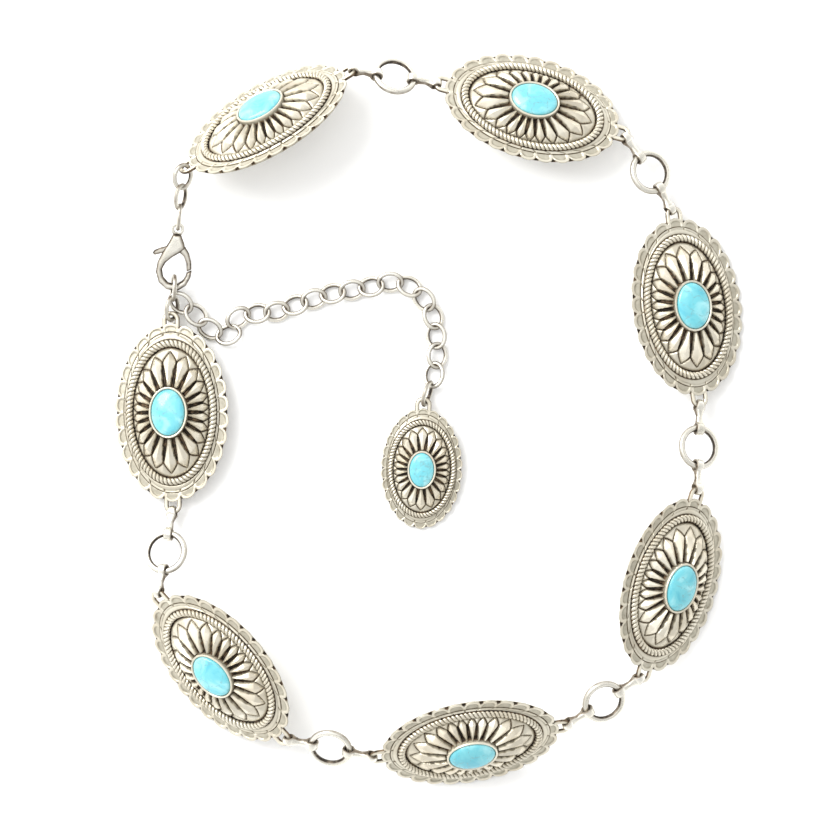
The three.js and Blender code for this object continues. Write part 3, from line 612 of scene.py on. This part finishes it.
def concho_rope(spec):
    """Two strands laid round each other along the rope's ellipse."""
    turns = spec["rope_turns"]
    steps = STRAND["steps"] * turns
    semi = inset_semi(spec, spec["rope"])
    angle, _ = arc_angles(semi, steps)
    height = spec["rim"] + GROOVE_RISE + spec["rope_height"] - spec["rope_width"] / 2
    line = polar_row(ray(semi, angle), angle, height)
    across = np.cross(unit_rows(np.roll(line, -1, axis=0) - np.roll(line, 1, axis=0)), UP)
    strand = spec["rope_width"] / 4
    parts = []
    for k in range(2):
        twist = np.pi * k - 2 * np.pi * np.arange(steps) / steps * turns
        offset = np.cos(twist)[:, None] * across + np.sin(twist)[:, None] * UP
        points, faces = tube(line + offset * strand, strand * STRAND["swell"], STRAND["sides"])
        away = np.linalg.norm(points - np.repeat(line, STRAND["sides"], axis=0), axis=1)
        # the strands darken with patina in the gaps between them and with painted shade on their undersides
        between = (STRAND["dark_from"] * strand - away) / (STRAND["dark_over"] * strand)
        low = smooth(0.5 * strand, -0.4 * strand, points[:, 2] - height)
        parts.append((points, faces, np.clip(np.clip(between, 0, 1) + low, 0, 1)))
    return parts


EAR = {"bends": 19, "sides": 12, "swell": 0.13}


def concho_ear(spec, side):
    """The loop of wire at one long end of a casting."""
    hub = spec["length"] / 2 + spec["ear_reach"]
    root = spec["length"] / 2 - spec["border"][0]
    radius = spec["ear_radius"]
    z = spec["rim"] / 2
    bend = np.linspace(-np.pi / 2, np.pi / 2, EAR["bends"])
    path = [(root, -radius, z), *[(hub + radius * math.cos(a), radius * math.sin(a), z) for a in bend]]
    path = np.array([*path, (root, radius, z)]) * np.array([side, side, 1.0])
    points, faces = tube(path, spec["ear_wire"] / 2 + EAR["swell"], EAR["sides"], closed=False)
    # painted shade on the wire's sides and underside; its top stays pale
    return points, faces, side_shade(outward(points, path, EAR["sides"]), UP)


CABOCHON = {"steps": 80, "crown_rows": 12, "lip": 0.25}


def cabochon(spec):
    """A domed oval stone, seated inside its bezel."""
    count = CABOCHON["steps"]
    semi = np.array(spec["stone"]) / 2
    base = spec["bezel"] - spec["seat_depth"] + GAP
    lip = spec["bezel"] - CABOCHON["lip"]
    crown = spec["stone_crown"] + CABOCHON["lip"]
    profile = [(1.0, base), (1.0, lip - 0.7), (0.995, lip - 0.3), (0.985, lip - 0.05)]
    for angle in np.linspace(0.1, 1.45, CABOCHON["crown_rows"]):
        profile.append((0.975 * math.cos(angle), lip + crown * math.sin(angle)))
    turn = circle(count)
    x, y = semi[0] * np.cos(turn), semi[1] * np.sin(turn)
    rows = [np.stack([share * x, share * y, np.full(count, z)], axis=1) for share, z in profile]
    points = np.vstack([*rows, [[0, 0, lip + crown]], [[0, 0, base]]])
    top, bottom = len(points) - 2, len(points) - 1
    faces = grid_faces(len(profile), count)
    faces += closing_faces(top - count, count, top)
    faces += closing_faces(0, count, bottom, flip=True)
    return points, faces


# Materials

# in metres
BUMP_DISTANCE = 0.00005


def new_material(name):
    material = bpy.data.materials.new(name)
    material.use_nodes = True
    tree = material.node_tree
    return material, tree.nodes, tree.links, tree.nodes["Principled BSDF"]


def noise(tree, links, coords, scale, detail, distortion=0.0):
    node = tree.new("ShaderNodeTexNoise")
    node.inputs["Scale"].default_value = scale
    node.inputs["Detail"].default_value = detail
    node.inputs["Distortion"].default_value = distortion
    links.new(coords, node.inputs["Vector"])
    return node.outputs["Fac"]


def math_node(tree, links, kind, first, second, clamp=False):
    node = tree.new("ShaderNodeMath")
    node.operation = kind
    node.use_clamp = clamp
    for value, socket in ((first, node.inputs[0]), (second, node.inputs[1])):
        if isinstance(value, (int, float)):
            socket.default_value = value
        else:
            links.new(value, socket)
    return node.outputs[0]


def mix_colour(tree, links, share, first, second):
    """The first colour at share 0 and the second at share 1."""
    node = tree.new("ShaderNodeMix")
    node.data_type = "RGBA"
    links.new(share, node.inputs["Factor"])
    for value, socket in ((first, node.inputs[6]), (second, node.inputs[7])):
        if isinstance(value, tuple):
            socket.default_value = (*value, 1.0)
        else:
            links.new(value, socket)
    return node.outputs[2]


def remap(tree, links, value, given, wanted):
    """Carries the given range of a value over to the wanted one, held within it."""
    node = tree.new("ShaderNodeMapRange")
    for index, number in zip((1, 2, 3, 4), (*given, *wanted)):
        node.inputs[index].default_value = number
    links.new(value, node.inputs[0])
    return node.outputs[0]


def add_bump(tree, links, shader, height, strength):
    bump = tree.new("ShaderNodeBump")
    bump.inputs["Strength"].default_value = strength
    bump.inputs["Distance"].default_value = BUMP_DISTANCE
    links.new(height, bump.inputs["Height"])
    links.new(bump.outputs["Normal"], shader.inputs["Normal"])


def silver_material(name, bright, tint, grey_patina_and_shade, brown_patina_and_shade, black_patina_and_shade, rough, metal_share):
    """Antiqued cast silver: pale on what rubs, brown and then black with patina in the recesses and with
    painted shade on sides and edges, faintly mottled.
    """
    material, tree, links, shader = new_material(name)
    coords = tree.new("ShaderNodeTexCoord").outputs["Object"]
    attribute = tree.new("ShaderNodeAttribute")
    attribute.attribute_name = "patina_and_shade"
    mottle = noise(tree, links, coords, scale=420.0, detail=4.0, distortion=0.3)
    patches = noise(tree, links, coords, scale=70.0, detail=3.0)
    grain = noise(tree, links, coords, scale=2600.0, detail=3.0)
    uneven = remap(tree, links, mottle, (0.3, 0.7), (0.75, 1.2))
    # how dark the colour turns: patina and painted shade from the attribute, unevenly, plus random specks
    patina_and_shade_level = math_node(tree, links, "MULTIPLY", attribute.outputs["Fac"], uneven, clamp=True)
    specks = remap(tree, links, mottle, (0.64, 0.8), (0.0, 0.14))
    patina_and_shade_level = math_node(tree, links, "ADD", patina_and_shade_level, specks, clamp=True)
    warm = remap(tree, links, patches, (0.35, 0.65), (0.0, 1.0))
    colour = mix_colour(tree, links, warm, bright, tint)
    # grey, then brown, then black as the patina and painted shade deepen
    for span, darker in (((0.0, 0.5), grey_patina_and_shade), ((0.5, 0.78), brown_patina_and_shade), ((0.78, 1.0), black_patina_and_shade)):
        colour = mix_colour(tree, links, remap(tree, links, patina_and_shade_level, span, (0.0, 1.0)), colour, darker)
    links.new(colour, shader.inputs["Base Color"])
    links.new(remap(tree, links, patina_and_shade_level, (0.0, 1.0), (metal_share, 0.35)), shader.inputs["Metallic"])
    clean = remap(tree, links, mottle, (0.3, 0.7), (rough, rough + 0.12))
    dull = remap(tree, links, patina_and_shade_level, (0.0, 1.0), (0.0, 0.32))
    links.new(math_node(tree, links, "ADD", clean, dull), shader.inputs["Roughness"])
    fine = math_node(tree, links, "MULTIPLY", grain, 0.5)
    add_bump(tree, links, shader, math_node(tree, links, "ADD", mottle, fine), strength=0.35)
    return material


def turquoise_material():
    """Pale sky-blue stone with paler clouds and thin veins, polished."""
    material, tree, links, shader = new_material("turquoise_stone")
    coords = tree.new("ShaderNodeTexCoord").outputs["Object"]
    cloud = noise(tree, links, coords, scale=120.0, detail=4.0, distortion=0.8)
    fine = noise(tree, links, coords, scale=900.0, detail=4.0)
    bend = tree.new("ShaderNodeTexNoise")
    bend.inputs["Scale"].default_value = 160.0
    links.new(coords, bend.inputs["Vector"])
    bent = tree.new("ShaderNodeVectorMath")
    bent.operation = "MULTIPLY_ADD"
    links.new(bend.outputs["Color"], bent.inputs[0])
    bent.inputs[1].default_value = (0.008, 0.008, 0.008)
    links.new(coords, bent.inputs[2])
    veins = tree.new("ShaderNodeTexVoronoi")
    veins.feature = "DISTANCE_TO_EDGE"
    veins.inputs["Scale"].default_value = 130.0
    links.new(bent.outputs[0], veins.inputs["Vector"])
    line = remap(tree, links, veins.outputs["Distance"], (0.0, 0.06), (1.0, 0.0))
    patchy = remap(tree, links, fine, (0.42, 0.62), (0.0, 0.75))
    line = math_node(tree, links, "MULTIPLY", line, patchy, clamp=True)
    pale = remap(tree, links, cloud, (0.5, 0.68), (0.0, 0.75))
    deepened = remap(tree, links, cloud, (0.44, 0.3), (0.0, 0.7))
    colour = mix_colour(tree, links, pale, (0.15, 0.53, 0.60), (0.38, 0.72, 0.75))
    colour = mix_colour(tree, links, deepened, colour, (0.07, 0.41, 0.52))
    colour = mix_colour(tree, links, line, colour, (0.16, 0.33, 0.36))
    links.new(colour, shader.inputs["Base Color"])
    links.new(remap(tree, links, fine, (0.3, 0.7), (0.12, 0.24)), shader.inputs["Roughness"])
    shader.inputs["Coat Weight"].default_value = 0.35
    shader.inputs["Coat Roughness"].default_value = 0.08
    add_bump(tree, links, shader, math_node(tree, links, "SUBTRACT", cloud, line), strength=0.15)
    return material


antique = silver_material(
    "antique_cast", bright=(0.77, 0.73, 0.62), tint=(0.66, 0.60, 0.48), grey_patina_and_shade=(0.385, 0.36, 0.285),
    brown_patina_and_shade=(0.19, 0.125, 0.07), black_patina_and_shade=(0.022, 0.015, 0.009), rough=0.26, metal_share=0.78,
)
polished = silver_material(
    "bright_cast", bright=(0.86, 0.835, 0.76), tint=(0.75, 0.72, 0.63), grey_patina_and_shade=(0.43, 0.40, 0.345),
    brown_patina_and_shade=(0.20, 0.16, 0.115), black_patina_and_shade=(0.03, 0.022, 0.015), rough=0.2, metal_share=1.0,
)
stone_blue = turquoise_material()


def polished_piece(name, points, faces, node, patina_and_shade, body="belt"):
    """A piece of polished silver that stands for one solid."""
    piece(name, points, faces, polished, body=body, replaces=[node], patina_and_shade=patina_and_shade)


# Conchos and stones

SHARP_ANGLE = 38
DESIGNS = {"large": CONCHO, "small": DROP}
shells = {key: concho_shell(spec) for key, spec in DESIGNS.items()}
ropes = {key: concho_rope(spec) for key, spec in DESIGNS.items()}
stones = {key: cabochon(spec) for key, spec in DESIGNS.items()}
frames = {}
for letter in ("a", "b", "c", "d", "e", "f", "g", "drop"):
    key = "small" if letter == "drop" else "large"
    node = nodes["concho_" + letter]
    place = back_frame(node)
    frames[letter] = place
    sides = (-1, 1)
    if letter == "drop":
        reach = (triangles_of(node)[0] - place["at"]) @ place["x"]
        sides = (1,) if reach.max() > -reach.min() else (-1,)
    ears = [concho_ear(DESIGNS[key], side) for side in sides]
    points, faces, patina_and_shade = joined([shells[key], *ropes[key], *ears])
    piece("cast_" + letter, placed(points, place), faces, antique,
          replaces=["concho_" + letter], patina_and_shade=patina_and_shade, sharp=SHARP_ANGLE)
    points, faces = stones[key]
    piece("cabochon_" + letter, placed(points, place), faces, stone_blue,
          replaces=["stone_" + letter])

# Rings between the conchos

ring_middles = {}
for joint in JOINTS:
    middle, axes, _ = main_axes(nodes["ring_" + joint])
    ring_middles[joint] = middle
    turn = circle(RING["steps"])
    path = middle + RING["radius"] * (np.cos(turn)[:, None] * axes[0] + np.sin(turn)[:, None] * axes[1])
    wire, faces = tube(path, RING["wire"] / 2, RING["sides"], up=axes[2])
    shade = loop_shade(wire, path, RING["sides"], middle, axes[2])
    polished_piece("hoop_" + joint, wire * MM, faces, "ring_" + joint, shade)


# Chain links, placed as in the part's source

# a link's half sizes, the step between taut links, and the roll at which lying links touch
SEMI = ((LINK["length"] - LINK["wire"]) / 2, (LINK["width"] - LINK["wire"]) / 2)
TAUT = 2 * SEMI[0] - (1 - LINK["bite"]) * LINK["wire"]
CROSSING = SEMI[1] * math.sqrt(1 - (LINK["pitch"] / 2 / SEMI[0]) ** 2)
LYING_ROLL = math.asin((1 - LINK["bite"]) * LINK["wire"] / (2 * CROSSING))
END_ROLL = math.radians(72)
SHORT_ROLLS = (30, 62, 95)
CATCH_ROLLS = (100, 55)

# the clasp's eye past the short chain's end, and the catch link's play in the ear
EYE_SEAT = 0.196
EAR_PLAY = 1.2
CURVE_STEPS = 120
ROUTE_STEPS = 2001

# the spare chain's way from the catch links to the last link before the drop, above the table
LEAVING = (0.88, -0.36, -0.3)
SHIFT = np.array([-7.39, 2.71, 0.0])
ROUTE = (
    (-91.5, 41.5, 1.6), (-85.5, 35.5, 0.4), (-81.5, 31.0, 0), (-77.5, 33.5, 0), (-75.0, 39.5, 0),
    (-69.5, 41.8, 0), (-58.0, 43.0, 0), (-46.0, 47.0, 0), (-33.0, 50.8, 0), (-18.0, 53.4, 0),
    (-6.4, 55.6, 0), (3.0, 51.0, 0), (9.1, 41.3, 0), (10.6, 31.8, 0), (10.9, 23.2, 0), (9.4, 14.9, 0.3),
)
ROUTE_END = (6.2, 6.4, 0.0)


def link_at(at, along, roll):
    """An oval link of round wire, rolled about its length."""
    x = unit(along)
    level = unit(np.cross(UP, x))
    y = level * math.cos(roll) - np.cross(x, level) * math.sin(roll)
    face = np.cross(x, y)
    turn, _ = arc_angles(SEMI, LINK["steps"])
    reach = ray(SEMI, turn)
    path = at + (reach * np.cos(turn))[:, None] * x + (reach * np.sin(turn))[:, None] * y
    points, faces = tube(path, LINK["round_wire"] / 2, LINK["sides"], up=face)
    # painted shade at both ends of a link, where its neighbours pass through
    ends = np.repeat(smooth(0.75, 0.97, np.abs(np.cos(turn))), LINK["sides"])
    shade = loop_shade(points, path, LINK["sides"], at, face)
    return points, faces, np.clip(shade + 0.3 * ends, 0, 1)


def smooth_route(points, steps):
    """A centripetal curve through the points, resampled evenly."""
    ends = [2 * points[0] - points[1], *points, 2 * points[-1] - points[-2]]
    t = np.linspace(0, 1, CURVE_STEPS, endpoint=False)[:, None]
    curve = []
    for p0, p1, p2, p3 in zip(ends, ends[1:], ends[2:], ends[3:]):
        d0, d1, d2 = (np.linalg.norm(b - a) ** 0.5 for a, b in ((p0, p1), (p1, p2), (p2, p3)))
        t1 = ((p1 - p0) / d0 - (p2 - p0) / (d0 + d1) + (p2 - p1) / d1) * d1
        t2 = ((p2 - p1) / d1 - (p3 - p1) / (d1 + d2) + (p3 - p2) / d2) * d1
        square = 3 * (p2 - p1) - 2 * t1 - t2
        cube = 2 * (p1 - p2) + t1 + t2
        curve.append(p1 + t1 * t + square * t ** 2 + cube * t ** 3)
    curve = np.vstack([*curve, [points[-1]]])
    run = np.concatenate([[0], np.cumsum(np.linalg.norm(np.diff(curve, axis=0), axis=1))])
    even = np.linspace(0, run[-1], steps)
    return np.stack([np.interp(even, run, curve[:, k]) for k in range(3)], axis=1)


def lying_height(roll):
    """How high a link's middle lies when it rests on the table."""
    return SEMI[1] * math.sin(roll) + LINK["wire"] / 2 + GAP


middle, axes, _ = main_axes(nodes["clasp_chain"])
down = axes[0] * (-1 if axes[0][1] > 0 else 1)
spots = [middle + down * TAUT * (i - 1) for i in range(len(SHORT_ROLLS))]
short = [link_at(at, down, math.radians(roll)) for at, roll in zip(spots, SHORT_ROLLS)]
points, faces, shade = joined(short)
polished_piece("short_links", points * MM, faces, "clasp_chain", shade)

# the two catch links lie between the clasp's eye and the upper ear of concho g
eye = middle + down * (TAUT + SEMI[0] + EYE_SEAT)
place = frames["g"]
toward = 1 if place["x"][1] > 0 else -1
hub = place["at"] + place["x"] * toward * (CONCHO["length"] / 2 + CONCHO["ear_reach"])
hub = hub + place["z"] * CONCHO["rim"] / 2
flat = (eye - hub) - place["z"] * ((eye - hub) @ place["z"])
grip = hub + unit(flat) * CONCHO["ear_radius"]
along = unit(grip - eye)
first_catch = LINK["wire"] / 2 + EAR_PLAY + CONCHO["ear_wire"] / 2 - SEMI[0]
catches = [grip + along * (first_catch - i * TAUT) for i in (1, 0)]
long = [link_at(at, along, math.radians(roll)) for at, roll in zip(catches, CATCH_ROLLS)]

first = catches[0] + along * SEMI[0] + unit(LEAVING) * (TAUT - SEMI[0])
route = [first] + [np.array(p) + SHIFT + UP * lying_height(LYING_ROLL) for p in ROUTE]
places = []
for p in smooth_route(route, ROUTE_STEPS):
    if not places or np.linalg.norm(p - places[-1]) >= LINK["pitch"]:
        places.append(p)
for i, at in enumerate(places):
    before, after = places[max(i - 1, 0)], places[min(i + 1, len(places) - 1)]
    long.append(link_at(at, after - before, LYING_ROLL * (1 if i % 2 else -1)))
last = places[-1]
rise = (lying_height(END_ROLL) - last[2]) / TAUT
level = (ROUTE_END + SHIFT - last) * (1.0, 1.0, 0.0)
toward_end = unit(level) * math.sqrt(1 - rise ** 2) + UP * rise
long.append(link_at(last + toward_end * TAUT, toward_end, END_ROLL))
points, faces, shade = joined(long)
polished_piece("long_links", points * MM, faces, "spare_chain", shade)


# Cast pieces rounded off from their solids

CONNECTOR_CAST = {"voxel": 0.27, "passes": 3, "swell": 0.04}
CLASP_CAST = {"voxel": 0.22, "passes": 4, "swell": 0.06}
WELD = 1e-6


def rounded(mesh, voxel, passes, swell):
    """Points, faces and normals of a closed mesh, its edges rounded off as on a casting."""
    work = bmesh.new()
    work.from_mesh(mesh)
    bmesh.ops.remove_doubles(work, verts=work.verts, dist=WELD)
    work.to_mesh(mesh)
    work.free()
    made = bpy.data.objects.new("work", mesh)
    bpy.context.scene.collection.objects.link(made)
    remesh = made.modifiers.new("remesh", "REMESH")
    remesh.mode = "VOXEL"
    remesh.voxel_size = voxel * MM
    soften = made.modifiers.new("soften", "SMOOTH")
    soften.factor = 0.5
    soften.iterations = passes
    found = made.evaluated_get(bpy.context.evaluated_depsgraph_get()).to_mesh()
    points = np.array([(v.co + v.normal * swell * MM)[:] for v in found.vertices]) / MM
    normals = np.array([v.normal[:] for v in found.vertices])
    faces = [tuple(p.vertices) for p in found.polygons]
    bpy.data.objects.remove(made)
    bpy.data.meshes.remove(mesh)
    return points, faces, normals


def relaxed(points, faces, shade, passes):
    """Points and painted shade values evened out between neighbours."""
    edges = np.array([(face[i - 1], face[i]) for face in faces for i in range(len(face))])
    links = np.vstack([edges, edges[:, ::-1]])
    near = np.bincount(links[:, 0], minlength=len(points))
    values = np.column_stack([points, shade])
    for _ in range(passes):
        total = [np.bincount(links[:, 0], column[links[:, 1]], len(points)) for column in values.T]
        values = (values + np.stack(total, axis=1) / near[:, None]) / 2
    return values[:, :3], values[:, 3]


EYE = {"steps": 40, "sides": 16, "square": 0.75}
WAIST = {"steps": 14, "sides": 24, "square": 0.8, "flare": 0.35, "overlap": (0.3, 0.2)}


def connector_width(x):
    return np.interp(x, *zip(*CONNECTOR["widths"]))


def eye_band(side, eye):
    """One eye of a connector: an oval band whose width follows the connector's outline."""
    turn, around = circle(EYE["steps"]), circle(EYE["sides"])
    semi = eye["semi"]
    middle = side * CONNECTOR["span"] / 2 + eye["shift"]
    way = unit_rows(np.stack([np.cos(turn) / semi[0], np.sin(turn) / semi[1]], axis=1))
    path = np.stack([middle + semi[0] * np.cos(turn), semi[1] * np.sin(turn)], axis=1)
    out = eye["half_thick"] * squared(np.cos(around), EYE["square"])
    flat = path[:, None, :] + out[None, :, None] * way[:, None, :]
    z = squared(np.sin(around), EYE["square"])[None, :] * connector_width(path[:, 0])[:, None] / 2
    points = np.concatenate([flat, z[:, :, None]], axis=2).reshape(-1, 3)
    return points, ring_faces(EYE["steps"], EYE["sides"], flip=True), 0.0


def waist_bar(low, high):
    """The narrow bar between a connector's eyes."""
    x = np.linspace(low, high, WAIST["steps"])
    around = circle(WAIST["sides"])
    tall = CONNECTOR["waist_height"] / 2 * (1 + WAIST["flare"] * (x / high) ** 2)
    y = tall[:, None] * squared(np.cos(around), WAIST["square"])[None, :]
    z = connector_width(x)[:, None] / 2 * squared(np.sin(around), WAIST["square"])[None, :]
    points = np.stack([np.repeat(x, WAIST["sides"]), y.ravel(), z.ravel()], axis=1)
    faces = grid_faces(WAIST["steps"], WAIST["sides"], flip=True)
    return points, faces + end_faces(WAIST["steps"], WAIST["sides"], flip=True), 0.0


def connector_shape():
    """Points, faces and painted shade of a connector, in its own frame: dark inside its eyes and along the
    edges of its bands.
    """
    span = CONNECTOR["span"] / 2
    ear, ring = CONNECTOR["ear_eye"], CONNECTOR["ring_eye"]
    low = -span + ear["semi"][0] - WAIST["overlap"][0]
    high = span - ring["semi"][0] + WAIST["overlap"][1]
    points, faces, _ = joined([eye_band(-1, ear), eye_band(1, ring), waist_bar(low, high)])
    mesh = bpy.data.meshes.new("connector")
    mesh.from_pydata((points * MM).tolist(), [], faces)
    points, faces, _ = rounded(mesh, **CONNECTOR_CAST)
    # painted shade inside each eye, and along the bands' edges below
    in_eye = np.zeros(len(points))
    for side, eye in ((-1, ear), (1, ring)):
        from_eye = points[:, 0] - side * span - eye["shift"]
        inner = np.array(eye["semi"]) - 0.5 * eye["half_thick"]
        away = np.hypot(from_eye / inner[0], points[:, 1] / inner[1])
        in_eye = np.maximum(in_eye, smooth(1.05, 0.8, away))
    across = np.abs(points[:, 2]) / (connector_width(points[:, 0]) / 2)
    return points, faces, np.clip(0.9 * in_eye + 0.8 * smooth(0.7, 0.95, across), 0, 1)


eyelet, eyelet_faces, eyelet_shade = connector_shape()
for joint in JOINTS:
    for end in (1, 2):
        name = f"connector_{joint}_{end}"
        middle, axes, size = main_axes(nodes[name])
        x = axes[0] * np.sign((ring_middles[joint] - middle) @ axes[0])
        y = axes[1] if size[1] > size[2] else axes[2]
        place = {"at": middle - x * CONNECTOR["offset"], "x": x, "y": y, "z": np.cross(x, y)}
        polished_piece(f"eyelet_{joint}_{end}", placed(eyelet, place), eyelet_faces, name, eyelet_shade)


# lengths in millimetres; "depth", "flank" and "outer" are shares, and "batch" is a count of points
PILLOW = {
    "core": 0.35, "reach": 1.7, "depth": 0.85, "flank": 0.4, "outer": 0.6, "pin_clear": 1.6, "batch": 500,
}
RELAX_PASSES = 3


def pillowed(points, normals, face, centre, pin):
    """Swells a flat casting's faces into rounded ones, and gives painted shade along its edges."""
    height = (points - centre) @ face
    side = np.sign(height)
    flat = (points - centre) - height[:, None] * face
    from_pin = np.linalg.norm(np.cross(points - pin, face), axis=1)
    on_flank = np.abs(normals @ face) < PILLOW["flank"]
    on_outside = np.abs(height) > PILLOW["outer"] * np.abs(height).max()
    rim = flat[on_flank & on_outside & (from_pin > PILLOW["pin_clear"])]
    distance = []
    for start in range(0, len(points), PILLOW["batch"]):
        batch = flat[start:start + PILLOW["batch"]]
        distance.append(np.linalg.norm(batch[:, None, :] - rim[None, :, :], axis=2).min(axis=1))
    share = np.clip(np.concatenate(distance) / PILLOW["reach"], 0, 1)
    bulge = np.sqrt(1 - (1 - share) ** 2)
    outer = smooth(-0.3, 0.1, (normals @ face) * side)
    above = np.maximum(np.abs(height) - PILLOW["core"], 0) * outer
    moved = points - (side * above * (1 - bulge) * PILLOW["depth"])[:, None] * face
    # painted shade, darkest along the edges
    return moved, 0.3 * smooth(1.0, 0.4, share) + 0.7 * smooth(0.55, 0.1, share)


joint = frame["record"]["behaviour"]["joints"][0]
hinge = unit(joint["axis"])
pin = np.array(joint["pos_m"]) / MM
for name, made, body in (("clasp_body", "hook", "belt"), ("clasp_lever", "gate", "lever")):
    points, faces, normals = rounded(nodes[name].data.copy(), **CLASP_CAST)
    centre = (points.max(axis=0) + points.min(axis=0)) / 2
    level = (points - centre) @ hinge
    centre = centre + hinge * (level.max() + level.min()) / 2
    points, shade = pillowed(points, normals, hinge, centre, pin)
    points, shade = relaxed(points, faces, shade, RELAX_PASSES)
    polished_piece(made, points * MM, faces, name, shade, body=body)

# Floor, light and camera

FLOOR_SIZE = 3.0
FLOOR_LEVEL = -0.0002
FLOOR_COLOUR = (0.97, 0.97, 0.965, 1.0)

# the pale tent is brighter at its walls than overhead, and on the key light's side
TENT_WALL = 1.12
TENT_TOP = 0.58
TENT_SIDE = 0.24
KEY_SIDE = (-0.76, 0.65, 0.0)

# the field is what the picture spans at the table
CAMERA_HEIGHT = 2.0
CAMERA_AT = (-0.0067, 0.0026, CAMERA_HEIGHT)
FIELD = 0.3519
SENSOR = 36.0
EXPOSURE = 0.4

bpy.ops.mesh.primitive_plane_add(size=FLOOR_SIZE, location=(0, 0, FLOOR_LEVEL))
floor = bpy.context.object
floor.name = "floor"
floor_material, _, _, shader = new_material("pale_floor")
shader.inputs["Base Color"].default_value = FLOOR_COLOUR
shader.inputs["Roughness"].default_value = 0.9
shader.inputs["Specular IOR Level"].default_value = 0.1
floor.data.materials.append(floor_material)


def softbox(name, at, size, power):
    """A square area light aimed at the middle of the table."""
    light = bpy.data.lights.new(name, "AREA")
    light.shape = "RECTANGLE"
    light.size, light.size_y = size, size
    light.energy = power
    lamp = bpy.data.objects.new(name, light)
    lamp.location = at
    lamp.rotation_euler = (-Vector(at)).to_track_quat("-Z", "Y").to_euler()
    bpy.context.scene.collection.objects.link(lamp)


softbox("overhead", (0.0, 0.1, 2.7), 2.2, 8.0)
softbox("key", (-1.3, 1.1, 1.7), 1.4, 38.0)

world = bpy.data.worlds.new("studio")
world.use_nodes = True
tree, links = world.node_tree.nodes, world.node_tree.links
tree["Background"].inputs["Color"].default_value = (1.0, 1.0, 1.0, 1.0)
direction = tree.new("ShaderNodeTexCoord").outputs["Generated"]
shares = []
for axis in (KEY_SIDE, (0.0, 0.0, 1.0)):
    share = tree.new("ShaderNodeVectorMath")
    share.operation = "DOT_PRODUCT"
    share.inputs[1].default_value = axis
    links.new(direction, share.inputs[0])
    shares.append(share.outputs["Value"])
to_key = remap(tree, links, shares[0], (-1.0, 1.0), (-TENT_SIDE, TENT_SIDE))
to_top = remap(tree, links, shares[1], (0.0, 1.0), (TENT_WALL, TENT_TOP))
links.new(math_node(tree, links, "ADD", to_key, to_top), tree["Background"].inputs["Strength"])
bpy.context.scene.world = world

camera_data = bpy.data.cameras.new("photo_view")
camera_data.sensor_width = SENSOR
camera_data.lens = SENSOR * CAMERA_HEIGHT / FIELD
camera = bpy.data.objects.new("photo_view", camera_data)
camera.location = CAMERA_AT
bpy.context.scene.collection.objects.link(camera)
bpy.context.scene.camera = camera
bpy.context.scene.view_settings.view_transform = "Standard"
bpy.context.scene.view_settings.exposure = EXPOSURE
